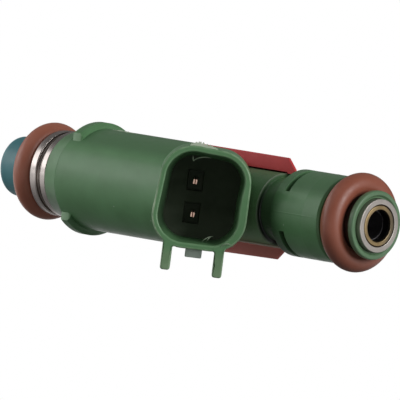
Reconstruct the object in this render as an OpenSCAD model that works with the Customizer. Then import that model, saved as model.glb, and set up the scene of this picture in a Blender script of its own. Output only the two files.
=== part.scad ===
// Top-feed port fuel injector.
// The axis of the injector is +X, from the spray end at X = 0 to the fuel inlet.
// -Y is the side that carries the electrical socket, and the guard rails of the socket point to -Z.
// All lengths are millimetres.

/* [Nozzle cap] */
// Outer diameter of the nozzle cap
cap_d = 9; // [8.8:0.1:9.6]
// Length of the nozzle cap, from its tip to the groove of the lower seal
cap_len = 5; // [4.3:0.1:5.5]
// Thickness of the cap's end wall
cap_end = 1.7; // [1.4:0.1:2]
// Radius of the rounded edge at the tip
cap_round = 0.9; // [0.3:0.1:1.1]
// Diameter of the spray opening at the tip
spray_d = 5.8; // [5:0.1:6.4]
// Diameter of the spray opening where it meets the nozzle
spray_throat_d = 4.4; // [4:0.1:4.8]
// Height of the snap bead inside the cap
snap_depth = 0.2; // [0.1:0.05:0.3]

/* [Seals] */
// Thickness of both O-rings
seal_section = 3.34; // [3.1:0.02:3.5]
// Width of the groove that holds the lower O-ring
lower_groove = 3.6; // [3.55:0.05:4.4]
// Width of the groove that holds the upper O-ring
upper_groove = 4.8; // [4:0.1:5.6]
// Distance from the sleeve to the middle of the upper O-ring
upper_seal_at = 2.15; // [1.8:0.05:2.6]
// Length of the retaining collar outside the upper O-ring
collar_len = 1.2; // [0.8:0.1:2]
// Diameter of the retaining collar
collar_d = 10.1; // [9:0.1:11]

/* [Fuel tube] */
// Outer diameter of the fuel tube and of the steel nose
tube_d = 7.85; // [7.8:0.05:8]
// Diameter of the wide bore that holds the filter
inlet_bore = 6.2; // [5.6:0.1:6.4]
// Depth of the wide bore
inlet_depth = 15; // [14:0.5:20]
// Diameter of the narrow bore that holds the spring
core_bore = 4; // [3.8:0.1:4.4]
// Length of tube that stands out of the retaining collar
tube_proud = 0.3; // [0.1:0.1:0.8]

/* [Inlet filter] */
// Bore of the brass filter ring
filter_bore = 4.8; // [4:0.1:5.2]
// Length of the brass filter ring
filter_ring_len = 1.2; // [0.8:0.1:4]
// Distance that the filter ring is pressed in below the mouth of the tube
filter_inset = 0.25; // [0.1:0.05:1]
// Length of the filter cage behind the ring
filter_len = 9.5; // [7:0.5:10]
// Number of ribs of the filter cage
filter_ribs = 4; // [3:1:6]

/* [Spring and its adjuster] */
// Length of the return spring at rest
spring_len = 10.5; // [8:0.5:14]
// Wire diameter of the return spring
spring_wire = 0.45; // [0.3:0.05:0.5]
// Number of turns of the return spring
spring_turns = 8; // [5:1:9]
// Length of the adjusting tube
adjuster_len = 14; // [8:1:18]
// Bore of the adjusting tube
adjuster_bore = 2.4; // [1.8:0.1:2.8]

/* [Valve] */
// Diameter of the sealing ball
ball_d = 3.5; // [3.2:0.1:3.7]
// Lift of the valve
lift = 0.1; // [0.05:0.01:0.2]
// Outer diameter of the needle tube
needle_d = 3; // [2.6:0.1:3]
// Bore of the needle tube
needle_bore = 2; // [1.4:0.1:2.2]
// Diameter of the armature
armature_d = 6.6; // [6.2:0.1:6.8]
// Length of the armature
armature_len = 9.4; // [8:0.2:10.4]
// Depth of the armature's counterbore, where the spring stands
spring_pocket = 3.4; // [2:0.1:4]
// Thickness of the retainer in front of the orifice plate
retainer_len = 1.3; // [1:0.1:1.5]
// Thickness of the orifice plate
plate_t = 0.3; // [0.1:0.05:0.4]
// Number of spray holes
spray_holes = 4; // [2:1:6]
// Diameter of one spray hole
spray_hole_d = 0.25; // [0.15:0.05:0.4]
// Length of the valve seat
seat_len = 2.7; // [2.6:0.1:3]
// Length of the ring that guides the ball
guide_len = 1.6; // [1.4:0.1:2]
// Number of flutes that let fuel past the ball
guide_flutes = 5; // [3:1:6]

/* [Steel body] */
// Diameter of the steel collar behind the lower O-ring
steel_d = 12.8; // [12.2:0.1:13]
// Length of steel that shows between the lower O-ring and the moulding
steel_show = 3.6; // [2.8:0.1:4]
// Depth of the groove round the steel collar
steel_groove_depth = 0.5; // [0.2:0.1:0.8]
// Width of the groove round the steel collar
steel_groove_w = 0.9; // [0.4:0.1:1.1]
// Distance from the lower O-ring to the groove round the steel collar
steel_groove_at = 1.4; // [0.5:0.1:1.5]
// Diameter of the steel inside the moulding
root_d = 12; // [11.8:0.1:12.4]
// Length of the steel inside the moulding, up to the coil's can
root_len = 4.4; // [3.5:0.1:5]
// Length of the thin steel sleeve inside the coil
sleeve_in_coil = 5.5; // [4.5:0.1:6]
// Length of the non-magnetic ring
break_len = 4; // [3.4:0.1:4.5]

/* [Coil] */
// Outer diameter of the coil's steel can
can_d = 12.8; // [12.6:0.1:13.4]
// Wall of the coil's steel can
can_wall = 0.8; // [0.6:0.05:0.9]
// Length of the coil's steel can
can_len = 16.7; // [15.5:0.1:17.5]
// Thickness of the washer that closes the can
washer_t = 1.2; // [0.8:0.1:1.6]
// Wall of the bobbin's hub
hub_wall = 0.5; // [0.4:0.05:0.7]
// Thickness of the bobbin's flanges
flange_wall = 0.8; // [0.6:0.1:1.2]

/* [Moulded body] */
// Diameter of the moulding where it starts on the steel
front_d = 13.2; // [13:0.1:14]
// Diameter of the front cone where it meets the barrel
front_end_d = 14.6; // [14:0.1:15]
// Length of the front cone
front_len = 3.1; // [2:0.1:3.5]
// Diameter of the barrel
barrel_d = 15.1; // [14.8:0.1:16]
// Length of the barrel
barrel_len = 20.7; // [19.5:0.1:22]
// Diameter of the two flange segments
lug_d = 17; // [16.5:0.1:19]
// Thickness of the flange segments
lug_t = 1.6; // [1:0.1:2.5]
// Distance from the start of the barrel to the flange segments
lug_at = 0.3; // [0:0.1:4]
// Width of the flange segments, between their flat ends
lug_w = 10.6; // [6:0.1:12]
// Diameter of the neck
neck_d = 10.6; // [10:0.1:11]
// Length of the neck
neck_len = 19.7; // [19.5:0.1:24]
// Diameter of the groove beside the neck
groove_d = 9.3; // [8.8:0.1:9.8]
// Length of the groove beside the neck
groove_len = 4; // [2.5:0.1:5]
// Diameter of the clip sleeve
sleeve_d = 12.8; // [12:0.1:13.5]
// Length of the clip sleeve
sleeve_len = 9.7; // [7:0.1:12]
// Width of the clip slots
slot_w = 0.9; // [0.6:0.1:1.6]
// Depth of the clip slots
slot_depth = 1; // [0.4:0.1:1.4]
// Distance from the start of the sleeve to the middle of the slots
slot_at = 2; // [1:0.1:4]
// Angle that one clip slot runs round the sleeve
slot_angle = 120; // [60:5:150]

/* [Rear saddle] */
// Clearance between the saddle and the neck
saddle_gap = 0.25; // [0.1:0.05:0.4]
// Wall of the saddle behind the neck
saddle_wall = 0.8; // [0.6:0.1:1.2]
// Thickness of the saddle's two edge plates
saddle_edge = 1; // [0.8:0.1:1.6]
// Distance from the axis to the upper plate's outer edge
saddle_top = 7.6; // [7:0.1:8]
// Distance from the axis to the lower plate's outer edge, at the barrel
saddle_low = 7.7; // [7:0.1:8]
// Distance from the axis to the lower plate's outer edge, at the far end
saddle_low_end = 7.3; // [7:0.1:8]
// Chamfer at the end of the saddle
saddle_chamfer = 1.6; // [0.8:0.1:1.8]
// Clearance between the saddle's lip and the groove
lip_gap = 0.1; // [0.05:0.05:0.3]

/* [Electrical socket] */
// Angle between the socket and a line square to the axis
socket_angle = 45; // [43:1:50]
// Distance from the barrel's end to the point where the socket's centre line meets the axis
socket_at = 2.6; // [1.5:0.1:3.5]
// Distance from the axis to the rim of the socket
socket_reach = 21; // [20.6:0.1:24]
// Height of the socket's centre over the axis
socket_rise = 0.3; // [0:0.1:0.8]
// Width of the shroud halfway up
shroud_w = 14.3; // [13.6:0.1:15.4]
// Height of the shroud
shroud_h = 15; // [14.4:0.1:16]
// Angle at which the shroud's side next to the inlet leans outwards, towards the guard rails
shroud_lean = 2.8; // [0:0.2:4]
// Angle at which the shroud's other side leans outwards
shroud_lean_far = 1.2; // [0:0.2:4]
// Radius of the shroud's outer corners
shroud_corner = 4.8; // [4:0.1:5.5]
// Wall of the shroud at its rim
shroud_wall = 0.85; // [0.7:0.05:1.2]
// Depth of the socket
socket_depth = 9.2; // [8.4:0.1:9.4]
// Distance that each inner wall leans in, from the rim to the floor
socket_draft = 0.9; // [0.2:0.1:1]
// Width of the stem between the shroud and the barrel
stem_w = 12.4; // [12:0.1:13]
// Height of the stem between the shroud and the barrel
stem_h = 12.4; // [11.5:0.1:13]

/* [Guard rails and latch] */
// Distance between the guard rails
rail_spacing = 7.6; // [6.6:0.1:8.4]
// Thickness of a guard rail
rail_t = 1.3; // [1:0.1:1.8]
// Radius of the corners at the tip of a guard rail
rail_round = 0.4; // [0.1:0.05:0.45]
// Distance from the socket's centre line to the tip of a guard rail
rail_drop = 10.8; // [9:0.1:12]
// Length of the guard rails along the socket
rail_len = 9; // [5:0.5:10]
// Width of the latch ramp
latch_w = 2.5; // [1.5:0.1:4]
// Height of the latch ramp
latch_h = 1.3; // [0.6:0.1:1.8]
// Length of the latch ramp
latch_len = 3; // [2:0.5:4.5]
// Distance from the rim to the latch ramp
latch_at = 2.5; // [1:0.5:3.5]

/* [Terminals] */
// Distance between the two terminals
terminal_pitch = 4.8; // [4.2:0.1:5.2]
// Distance of the terminals from the middle of the socket
terminal_shift = -1; // [-1.4:0.1:0]
// Width of a terminal
terminal_w = 0.64; // [0.5:0.02:0.8]
// Height of a terminal
terminal_h = 0.8; // [0.6:0.05:1]
// Distance from the floor of the socket to the tip of a terminal
terminal_len = 5; // [3:0.1:6]
// Width of the square well round each terminal
well_w = 2.3; // [1.6:0.1:2.4]
// Height of the square well round each terminal
well_h = 3; // [1.8:0.1:3.2]
// Depth of the square well round each terminal
well_depth = 0.6; // [0.3:0.1:0.8]

/* [Hidden] */

$fn = 96;
// Extra length of a cutting shape past the face that it cuts
over = 0.5;
// Clearance between pieces that are pressed or moulded together
press_gap = 0.02;
// Clearance between the cap and the nose, and round the bobbin
slip_gap = 0.05;
// Clearance between the ball and its guide, and between the ball and its closed seat
ball_gap = 0.03;
// Clearance round the armature
armature_gap = 0.15;
// Small edge break on moulded ends
edge = 0.3;
// Flats that make up one rounded corner of the shroud
corner_steps = 8;

// Wall of the steel nose round the valve seat
nose_wall = 0.86;
// Radii of the holes through the seat retainer and the valve seat, and of the circle of spray holes
retainer_hole_r = 1.3;
seat_hole_r = 0.8;
spray_circle_r = 0.45;
// Radius of a flute in the ball's guide, and depth of the ball's centre in the guide
flute_r = 0.45;
ball_in_guide = 0.5;
// Fuel holes across the needle tube: diameter, and distance from the guide
cross_hole_d = 0.9;
cross_hole_at = 2;
// Snap bead between the cap and the nose: place behind the nose's end, and width
snap_at = 0.7;
snap_w = 0.8;
// Grooves that key the steel root into the moulding
root_groove_at = 1;
root_groove_w = 0.8;
root_groove_depth = 0.3;
root_groove_pitch = 1.6;
// Free space in front of the armature
armature_free = 0.4;
// Slit along the adjusting tube, which lets it be squeezed into its bore
slit_w = 0.6;
// Filter cage: gap to the bore, rib height and width, end length, and wall of the screen
cage_gap = 0.45;
rib_h = 0.45;
rib_w = 0.7;
cage_end = 1;
screen_wall = 0.12;
// Gaps between the bobbin and its can, and between the winding and the can
bobbin_gap = 0.3;
winding_gap = 0.25;
// Gap between the spring and its bore
spring_gap = 0.2;
// Floor of the socket, and the depth to which the stem runs into it
floor_wall = 1.2;
stem_root = 0.2;
// Depth to which the rails and the latch run into the shroud's wall
shroud_root = 0.5;
// Length of the latch's crest
latch_crest = 0.8;

// Radii that several pieces share
tube_r = tube_d / 2;
chamber_r = armature_d / 2 + armature_gap;
stack_r = tube_r - nose_wall;
web_r = 2.3;
can_bore_r = can_d / 2 - can_wall;
seal_r = tube_r + press_gap + seal_section / 2;
mould_bore_r = tube_r + press_gap;

// Stations along the axis, from the spray tip
x_nose = cap_end;
x_plate = x_nose + retainer_len;
x_seat = x_plate + plate_t;
x_guide = x_seat + seat_len;
x_web = x_guide + guide_len;
x_ball = x_guide + ball_in_guide;
x_shoulder = cap_len + lower_groove;
x_moulding = x_shoulder + steel_show;
x_barrel = x_moulding + front_len;
x_neck = x_barrel + barrel_len;
x_groove = x_neck + neck_len;
x_sleeve = x_groove + groove_len;
x_upper_seal = x_sleeve + sleeve_len;
x_collar = x_upper_seal + upper_groove;
x_mouth = x_collar + collar_len + tube_proud;
x_can = x_moulding + root_len;
x_break = x_can + sleeve_in_coil;
x_armature_end = x_break + break_len / 2 - lift;
x_armature = x_armature_end - armature_len;
x_pole = x_armature_end + lift;
x_pocket = x_armature_end - spring_pocket;
x_washer = x_can + can_len - washer_t;
x_adjuster = x_pocket + spring_len;

// Distances along the socket's centre line, from the axis
k_floor = socket_reach - socket_depth;
k_tip = k_floor + terminal_len;
k_stem = -4;
socket_x = x_neck + socket_at;

// Terminal leads: thickness, distance inside the can's wall, distance of the run from the axis,
// distance between the two leads, and gap from the coil's washer to the riser
lead_depth = 0.5;
lead_inset = 1;
lead_y = lead_inset - can_bore_r;
run_y = -5.4;
lead_pitch = 2.8;
riser_gap = 0.8;
// Notch where the leads leave the coil
notch_w = 4.4;
notch_gap = 0.1;

// Colours
green = [0.27, 0.41, 0.28];
teal = [0.24, 0.44, 0.48];
red = [0.52, 0.17, 0.19];
brown = [0.44, 0.22, 0.15];
steel = [0.74, 0.73, 0.72];
dark_steel = [0.48, 0.48, 0.50];
brass = [0.72, 0.58, 0.32];
copper = [0.72, 0.45, 0.28];
black_plastic = [0.12, 0.12, 0.12];

// Stands a shape that is drawn along Z on the injector's axis
module along_axis(x = 0) {
    translate([x, 0, 0]) rotate([0, 90, 0]) children();
}

// A solid disc of radius r from station x0 to x1
module disc(x0, x1, r) {
    along_axis(x0) cylinder(h = x1 - x0, r = r);
}

// A cone from radius r0 at station x0 to radius r1 at x1
module cone(x0, x1, r0, r1) {
    along_axis(x0) cylinder(h = x1 - x0, r1 = r0, r2 = r1);
}

// A tube with outer radius ro and bore radius ri from station x0 to x1
module tube(x0, x1, ro, ri) {
    difference() {
        disc(x0, x1, ro);
        disc(x0 - over, x1 + over, ri);
    }
}

// An O-ring at station x
module seal_ring(x) {
    color(brown) along_axis(x) rotate_extrude() translate([seal_r, 0]) circle(d = seal_section);
}

// ---- Spray end ----

module nozzle_cap() {
    skirt_r = tube_r + slip_gap;
    color(teal) difference() {
        along_axis() rotate_extrude() {
            square([cap_d / 2 - cap_round, cap_len]);
            translate([0, cap_round]) square([cap_d / 2, cap_len - cap_round]);
            translate([cap_d / 2 - cap_round, cap_round]) circle(r = cap_round);
        }
        disc(cap_end, cap_len + over, skirt_r);
        cone(-over, cap_end + over, spray_wide_r(-over), spray_wide_r(cap_end + over));
    }
    color(teal) snap_ring(skirt_r + press_gap, tube_r - snap_depth + slip_gap, 2 * slip_gap);
}

// Radius of the flared spray opening at station x
function spray_wide_r(x) = spray_d / 2 + (spray_throat_d - spray_d) / 2 * x / cap_end;

// The snap bead of the cap, or the groove for it, shortened by inset at each side
module snap_ring(ro, ri, inset) {
    tube(x_nose + snap_at + inset, x_nose + snap_at + snap_w - inset, ro, ri);
}

module seat_retainer() {
    color(steel) difference() {
        disc(x_nose, x_plate, stack_r - press_gap);
        cone(x_nose - over, x_plate + over, spray_wide_r(x_nose), retainer_hole_r);
    }
}

module orifice_plate() {
    color(steel) difference() {
        disc(x_plate, x_seat, stack_r - press_gap);
        for (i = [0 : spray_holes - 1]) {
            rotate([(i + 0.5) * 360 / spray_holes, 0, 0]) translate([0, 0, spray_circle_r])
                disc(x_plate - over, x_seat + over, spray_hole_d / 2);
        }
    }
}

// Radius of the 45 degree seat at station x
function seat_cone_r(x) = x - x_ball + (ball_d / 2 + ball_gap) * sqrt(2);

module valve_seat() {
    color(steel) difference() {
        disc(x_seat, x_guide, stack_r - press_gap);
        disc(x_seat - over, x_guide, seat_hole_r);
        cone(x_ball - ball_d / 2, x_guide + over, seat_cone_r(x_ball - ball_d / 2), seat_cone_r(x_guide + over));
    }
}

module ball_guide() {
    guide_r = ball_d / 2 + ball_gap;
    color(steel) difference() {
        tube(x_guide, x_web, stack_r - press_gap, guide_r);
        for (i = [0 : guide_flutes - 1]) {
            rotate([i * 360 / guide_flutes, 0, 0]) translate([0, 0, guide_r])
                disc(x_guide - over, x_web + over, flute_r);
        }
    }
}

// Steel body: nose, grooved collar, moulded-in root and the thin sleeve round the armature
module valve_body() {
    x_ring = x_shoulder + steel_groove_at;
    color(steel) difference() {
        union() {
            disc(x_nose, x_shoulder + over, tube_r);
            disc(x_shoulder, x_moulding, steel_d / 2);
            disc(x_shoulder, x_can, root_d / 2);
            disc(x_shoulder, x_break, tube_r);
        }
        tube(x_ring, x_ring + steel_groove_w, steel_d / 2 + over, steel_d / 2 - steel_groove_depth);
        snap_ring(tube_r + over, tube_r - snap_depth, 0);
        for (i = [0, 1]) {
            x = x_moulding + root_groove_at + i * root_groove_pitch;
            tube(x, x + root_groove_w, root_d / 2 + over, root_d / 2 - root_groove_depth);
        }
        disc(x_nose - over, x_web, stack_r);
        disc(x_web - over, x_break, web_r);
        disc(x_armature - armature_free, x_break + over, chamber_r);
    }
}

module lower_oring() {
    seal_ring(cap_len + lower_groove / 2);
}

// ---- Moving valve ----

module valve_ball() {
    color(dark_steel) translate([x_ball, 0, 0]) sphere(d = ball_d);
}

module needle_tube() {
    x_start = x_ball + ball_d / 4;
    color(steel) difference() {
        along_axis() rotate_extrude() difference() {
            translate([needle_bore / 2, x_start]) square([(needle_d - needle_bore) / 2, x_pocket - x_start]);
            translate([0, x_ball]) circle(r = ball_d / 2 + press_gap);
        }
        for (turn = [0, 90]) {
            rotate([turn, 0, 0]) translate([x_web + cross_hole_at, 0, 0])
                cylinder(h = 2 * needle_d, d = cross_hole_d, center = true);
        }
    }
}

module armature() {
    spring_r = core_bore / 2;
    color(dark_steel) difference() {
        disc(x_armature, x_armature_end, armature_d / 2);
        disc(x_armature - over, x_armature_end, needle_d / 2 + press_gap);
        disc(x_pocket, x_armature_end + over, spring_r);
    }
}

// ---- Spring and adjuster ----

// Points round the spring's wire, of radius w, at turn angle a and station x of a coil of radius r
function wire_ring(a, x, r, w, sides) = [
    for (j = [0 : sides - 1])
        let (t = 360 * j / sides, q = r + w * cos(t))
        [x + w * sin(t), q * cos(a), q * sin(a)]
];

module return_spring() {
    steps = 14;
    sides = 6;
    coil_r = core_bore / 2 - spring_gap - spring_wire / 2;
    rings = spring_turns * steps;
    run = spring_len - spring_wire - 4 * press_gap;
    start = x_pocket + spring_wire / 2 + 2 * press_gap;
    points = [
        for (i = [0 : rings])
            each wire_ring(360 * i / steps, start + run * i / rings, coil_r, spring_wire / 2, sides)
    ];
    skin = [
        for (i = [0 : rings - 1], j = [0 : sides - 1])
            let (a = i * sides + j, b = i * sides + (j + 1) % sides)
            [a, b, b + sides, a + sides]
    ];
    front = [[for (j = [sides - 1 : -1 : 0]) j]];
    back = [[for (j = [0 : sides - 1]) rings * sides + j]];
    color(dark_steel) polyhedron(points, concat(skin, front, back));
}

module adjusting_tube() {
    outer_r = core_bore / 2 - press_gap;
    color(steel) difference() {
        tube(x_adjuster, x_adjuster + adjuster_len, outer_r, adjuster_bore / 2);
        translate([x_adjuster - over, -slit_w / 2, 0])
            cube([adjuster_len + 2 * over, slit_w, outer_r + over]);
    }
}

// ---- Fuel tube and filter ----

module inlet_tube() {
    color(steel) difference() {
        union() {
            disc(x_pole, x_mouth, chamber_r - press_gap);
            disc(x_break + break_len, x_mouth, tube_r);
        }
        disc(x_pole - over, x_mouth + over, core_bore / 2);
        disc(x_mouth - inlet_depth, x_mouth + over, inlet_bore / 2);
    }
}

module nonmagnetic_ring() {
    color(dark_steel) tube(x_break, x_break + break_len, tube_r, chamber_r);
}

// Stations of the filter, seen from the mouth of the tube
x_filter_out = x_mouth - filter_inset;
x_filter_in = x_filter_out - filter_ring_len;
cage_r = inlet_bore / 2 - cage_gap;
screen_r = cage_r - rib_h;

module filter_ring() {
    color(brass) tube(x_filter_in, x_filter_out, inlet_bore / 2 - press_gap, filter_bore / 2);
}

// Plastic cage: a ring that seats under the brass ring, ribs, and a closed end
module filter_frame() {
    x_end = x_filter_in - filter_len;
    color(black_plastic) {
        tube(x_filter_in - cage_end, x_filter_in, inlet_bore / 2 - 2 * press_gap, screen_r + press_gap);
        disc(x_end, x_end + cage_end, cage_r);
        for (i = [0 : filter_ribs - 1]) {
            rotate([i * 360 / filter_ribs, 0, 0]) intersection() {
                tube(x_end + cage_end, x_filter_in - cage_end, cage_r, screen_r + press_gap);
                translate([x_end, -rib_w / 2, 0]) cube([filter_len, rib_w, inlet_bore]);
            }
        }
    }
}

module filter_mesh() {
    color(steel) tube(x_filter_in - filter_len + cage_end, x_filter_in, screen_r, screen_r - screen_wall);
}

module upper_oring() {
    seal_ring(x_upper_seal + upper_seal_at);
}

module oring_collar() {
    color(green) along_axis(x_collar) rotate_extrude() {
        translate([mould_bore_r, 0]) square([collar_d / 2 - edge - mould_bore_r, collar_len]);
        translate([mould_bore_r, edge]) square([collar_d / 2 - mould_bore_r, collar_len - 2 * edge]);
        for (y = [edge, collar_len - edge]) {
            translate([collar_d / 2 - edge, y]) circle(r = edge);
        }
    }
}

// ---- Coil ----

bobbin_in_r = tube_r + slip_gap;
bobbin_out_r = can_bore_r - slip_gap;
hub_r = bobbin_in_r + hub_wall;

// Stations of the bobbin, which fills the can up to its washer
x_bobbin = x_can + bobbin_gap;
x_bobbin_end = x_washer - slip_gap;

// Notch where both leads leave the coil, cut from station x0 to x1
module lead_notch(x0, x1) {
    translate([x0, -can_d, -notch_w / 2]) cube([x1 - x0, can_d + lead_y + lead_depth + notch_gap, notch_w]);
}

module coil_bobbin() {
    color(black_plastic) difference() {
        union() {
            tube(x_bobbin, x_bobbin_end, hub_r, bobbin_in_r);
            tube(x_bobbin, x_bobbin + flange_wall, bobbin_out_r, bobbin_in_r);
            tube(x_bobbin_end - flange_wall, x_bobbin_end, bobbin_out_r, bobbin_in_r);
        }
        lead_notch(x_bobbin_end - flange_wall - over, x_bobbin_end + over);
    }
}

module coil_winding() {
    color(copper) tube(
        x_bobbin + flange_wall + press_gap, x_bobbin_end - flange_wall - press_gap,
        bobbin_out_r - winding_gap, hub_r + press_gap
    );
}

module coil_housing() {
    color(dark_steel) tube(x_can, x_can + can_len, can_d / 2, can_bore_r);
}

module flux_washer() {
    color(dark_steel) difference() {
        tube(x_washer, x_washer + washer_t, can_bore_r - press_gap, bobbin_in_r);
        lead_notch(x_washer - over, x_washer + washer_t + over);
    }
}

// ---- Electrical socket ----

// Frame of the socket: X along its centre line, outwards, and Y across it
module socket_frame() {
    translate([socket_x, 0, 0]) rotate([0, 0, socket_angle - 90]) children();
}

// Stands an outline, drawn as across and up, on the socket's centre line from k0 to k1
module along_socket(k0, k1) {
    socket_frame() translate([k0, 0, socket_rise]) rotate([90, 0, 90])
        linear_extrude(height = k1 - k0) children();
}

// Half the shroud's width at height z, on a side that leans out towards the bottom by an angle
function shroud_half(z, lean) = shroud_w / 2 - z * tan(lean);

// Centre of an outer corner of the shroud at height z
function corner_centre(z, lean) = [shroud_half(z, lean) - shroud_corner / cos(lean), z];

// Points of an arc of radius r about c, from angle a0 to a1
function arc_points(c, r, a0, a1, steps) = [
    for (i = [0 : steps])
        let (a = a0 + (a1 - a0) * i / steps)
        c + r * [cos(a), sin(a)]
];

// Points up one side of the shroud, drawn in from its outer face by inset
function shroud_side(inset, lean) =
    let (r = shroud_corner - inset, z = shroud_h / 2 - shroud_corner)
    concat(
        arc_points(corner_centre(-z, lean), r, -90, lean, corner_steps),
        arc_points(corner_centre(z, lean), r, lean, 90, corner_steps)
    );

// Outline of the shroud, drawn in from its outer face by inset
module shroud_outline(inset) {
    far = shroud_side(inset, shroud_lean_far);
    left = [for (i = [len(far) - 1 : -1 : 0]) [-far[i][0], far[i][1]]];
    polygon(concat(shroud_side(inset, shroud_lean), left));
}

// Outline of one guard rail, with rounded corners at its tip
module rail_outline() {
    half = rail_t / 2;
    root = shroud_root - shroud_h / 2;
    low = rail_round - rail_drop;
    polygon(concat(
        [[half, root], [-half, root]],
        arc_points([rail_round - half, low], rail_round, 180, 270, corner_steps),
        arc_points([half - rail_round, low], rail_round, 270, 360, corner_steps)
    ));
}

// Outline of the stem
module stem_outline() {
    r = 3;
    square([stem_w - 2 * r, stem_h], center = true);
    square([stem_w, stem_h - 2 * r], center = true);
    for (m = [-1, 1], n = [-1, 1]) {
        translate([m * (stem_w / 2 - r), n * (stem_h / 2 - r)]) circle(r = r);
    }
}

// Ramp of the latch, drawn as along the socket and down
module latch_ramp() {
    base = shroud_h / 2 - shroud_root;
    crest = shroud_h / 2 + latch_h;
    k0 = socket_reach - latch_at - latch_len;
    socket_frame() translate([0, latch_w / 2, socket_rise]) rotate([90, 0, 0])
        linear_extrude(height = latch_w) polygon([
            [k0, -base], [k0, -crest], [k0 + latch_crest, -crest],
            [k0 + latch_len, -shroud_h / 2], [k0 + latch_len, -base]
        ]);
}

module socket_solid() {
    along_socket(k_floor - floor_wall, socket_reach) shroud_outline(0);
    intersection() {
        along_socket(k_stem, k_floor - floor_wall + stem_root) stem_outline();
        translate([x_neck - over, -2 * barrel_d, -barrel_d])
            cube([4 * barrel_d, 2 * barrel_d - saddle_gap, 2 * barrel_d]);
    }
    for (m = [-1, 1]) {
        along_socket(socket_reach - rail_len, socket_reach)
            translate([m * rail_spacing / 2, 0]) rail_outline();
    }
    latch_ramp();
}

// Cavity of the socket, its inner walls leaning in towards the floor
module socket_cavity() {
    skin = 0.01;
    mouth_inset = shroud_wall - socket_draft * over / socket_depth;
    hull() {
        along_socket(socket_reach + over, socket_reach + over + skin) shroud_outline(mouth_inset);
        along_socket(k_floor, k_floor + skin) shroud_outline(shroud_wall + socket_draft);
    }
    for (m = [-1, 1]) {
        along_socket(k_floor - well_depth, k_floor + over)
            translate([terminal_shift, m * terminal_pitch / 2]) square([well_w, well_h], center = true);
    }
}

// Outline of a blade from k0 to its tapered tip, w wide
module blade_outline(k0, w) {
    taper = terminal_w / 2;
    polygon([
        [k0, -w / 2], [k_tip - taper, -w / 2], [k_tip, -w / 6],
        [k_tip, w / 6], [k_tip - taper, w / 2], [k0, w / 2]
    ]);
}

// One terminal: a blade in the socket, a run beside the neck, a riser and a lead down to the coil.
// Each stretch is a little thinner than the one before it, so that no two faces lie in one plane.
module terminal(side) {
    step = 0.05;
    run_k = (-run_y - lead_depth / 2) / cos(socket_angle) + terminal_shift * tan(socket_angle);
    x_turn = socket_x + run_k * sin(socket_angle) + terminal_shift * cos(socket_angle);
    z_run = socket_rise + side * terminal_pitch / 2;
    z_lead = side * lead_pitch / 2;
    x_riser = x_washer + washer_t + riser_gap;
    run_h = terminal_h - 2 * step;
    lead_h = run_h - 2 * step;
    z_low = min(z_run - run_h / 2 + step, z_lead - lead_h / 2 - step);
    z_high = max(z_run + run_h / 2 - step, z_lead + lead_h / 2 + step);
    color(copper) {
        socket_frame() intersection() {
            translate([0, terminal_shift, z_run - terminal_h / 2])
                linear_extrude(height = terminal_h) blade_outline(run_k, terminal_w);
            translate([0, terminal_shift + terminal_w / 2, z_run]) rotate([90, 0, 0])
                linear_extrude(height = terminal_w) blade_outline(run_k, terminal_h);
        }
        translate([x_riser + step, run_y, z_run - run_h / 2]) cube([x_turn - x_riser, lead_depth, run_h]);
        translate([x_riser, run_y + step, z_low])
            cube([lead_depth, lead_y + lead_depth - run_y - 2 * step, z_high - z_low]);
        translate([x_bobbin_end - flange_wall, lead_y, z_lead - lead_h / 2])
            cube([x_riser - x_bobbin_end + flange_wall + lead_depth - step, lead_depth, lead_h]);
    }
}

module terminal_upper() {
    terminal(1);
}

module terminal_lower() {
    terminal(-1);
}

// ---- Moulded body ----

// The two flange segments, above and below the barrel
module lugs() {
    x_lug = x_barrel + lug_at;
    intersection() {
        disc(x_lug, x_lug + lug_t, lug_d / 2);
        translate([x_lug - over, -lug_w / 2, -lug_d]) cube([lug_t + 2 * over, lug_w, 2 * lug_d]);
    }
}

// Clip sleeve with its two slots, one above and one below
module clip_sleeve() {
    x_slot = x_sleeve + slot_at - slot_w / 2;
    difference() {
        union() {
            disc(x_sleeve, x_upper_seal - edge, sleeve_d / 2);
            cone(x_upper_seal - edge, x_upper_seal, sleeve_d / 2, sleeve_d / 2 - edge);
        }
        for (middle = [0, 180]) {
            along_axis(x_slot) rotate([0, 0, middle - slot_angle / 2]) rotate_extrude(angle = slot_angle)
                translate([sleeve_d / 2 - slot_depth, 0]) square([slot_depth + over, slot_w]);
        }
    }
}

module overmold_body() {
    color(green) difference() {
        union() {
            cone(x_moulding, x_barrel, front_d / 2, front_end_d / 2);
            disc(x_barrel, x_neck, barrel_d / 2);
            lugs();
            disc(x_neck - over, x_groove, neck_d / 2);
            disc(x_groove - over, x_sleeve + over, groove_d / 2);
            clip_sleeve();
            socket_solid();
        }
        socket_cavity();
        disc(x_moulding - over, x_can, root_d / 2 + press_gap);
        disc(x_can, x_can + can_len, can_d / 2 + press_gap);
        disc(x_can + can_len - over, x_upper_seal + over, mould_bore_r);
        terminal_upper();
        terminal_lower();
    }
}

// ---- Rear saddle ----

// Half shell behind the neck, with an edge plate above and below and a lip that drops into the groove
module rear_saddle() {
    neck_out = neck_d / 2 + saddle_gap;
    x_lip = x_groove + lip_gap;
    x_end = x_groove + saddle_chamfer;
    color(red) difference() {
        intersection() {
            union() {
                disc(x_neck + edge, x_end - edge, neck_out + saddle_wall);
                translate([0, saddle_edge, 0]) rotate([90, 0, 0])
                    linear_extrude(height = saddle_edge + over) polygon([
                        [x_neck, -saddle_low], [x_groove, -saddle_low_end],
                        [x_end, saddle_chamfer - saddle_low_end], [x_end, saddle_top - saddle_chamfer],
                        [x_groove, saddle_top], [x_neck, saddle_top]
                    ]);
            }
            translate([x_neck - over, 0, -barrel_d]) cube([2 * neck_len, barrel_d, 2 * barrel_d]);
        }
        disc(x_neck - over, x_lip, neck_out);
        disc(x_lip - over, x_end + over, groove_d / 2 + lip_gap);
    }
}

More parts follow.
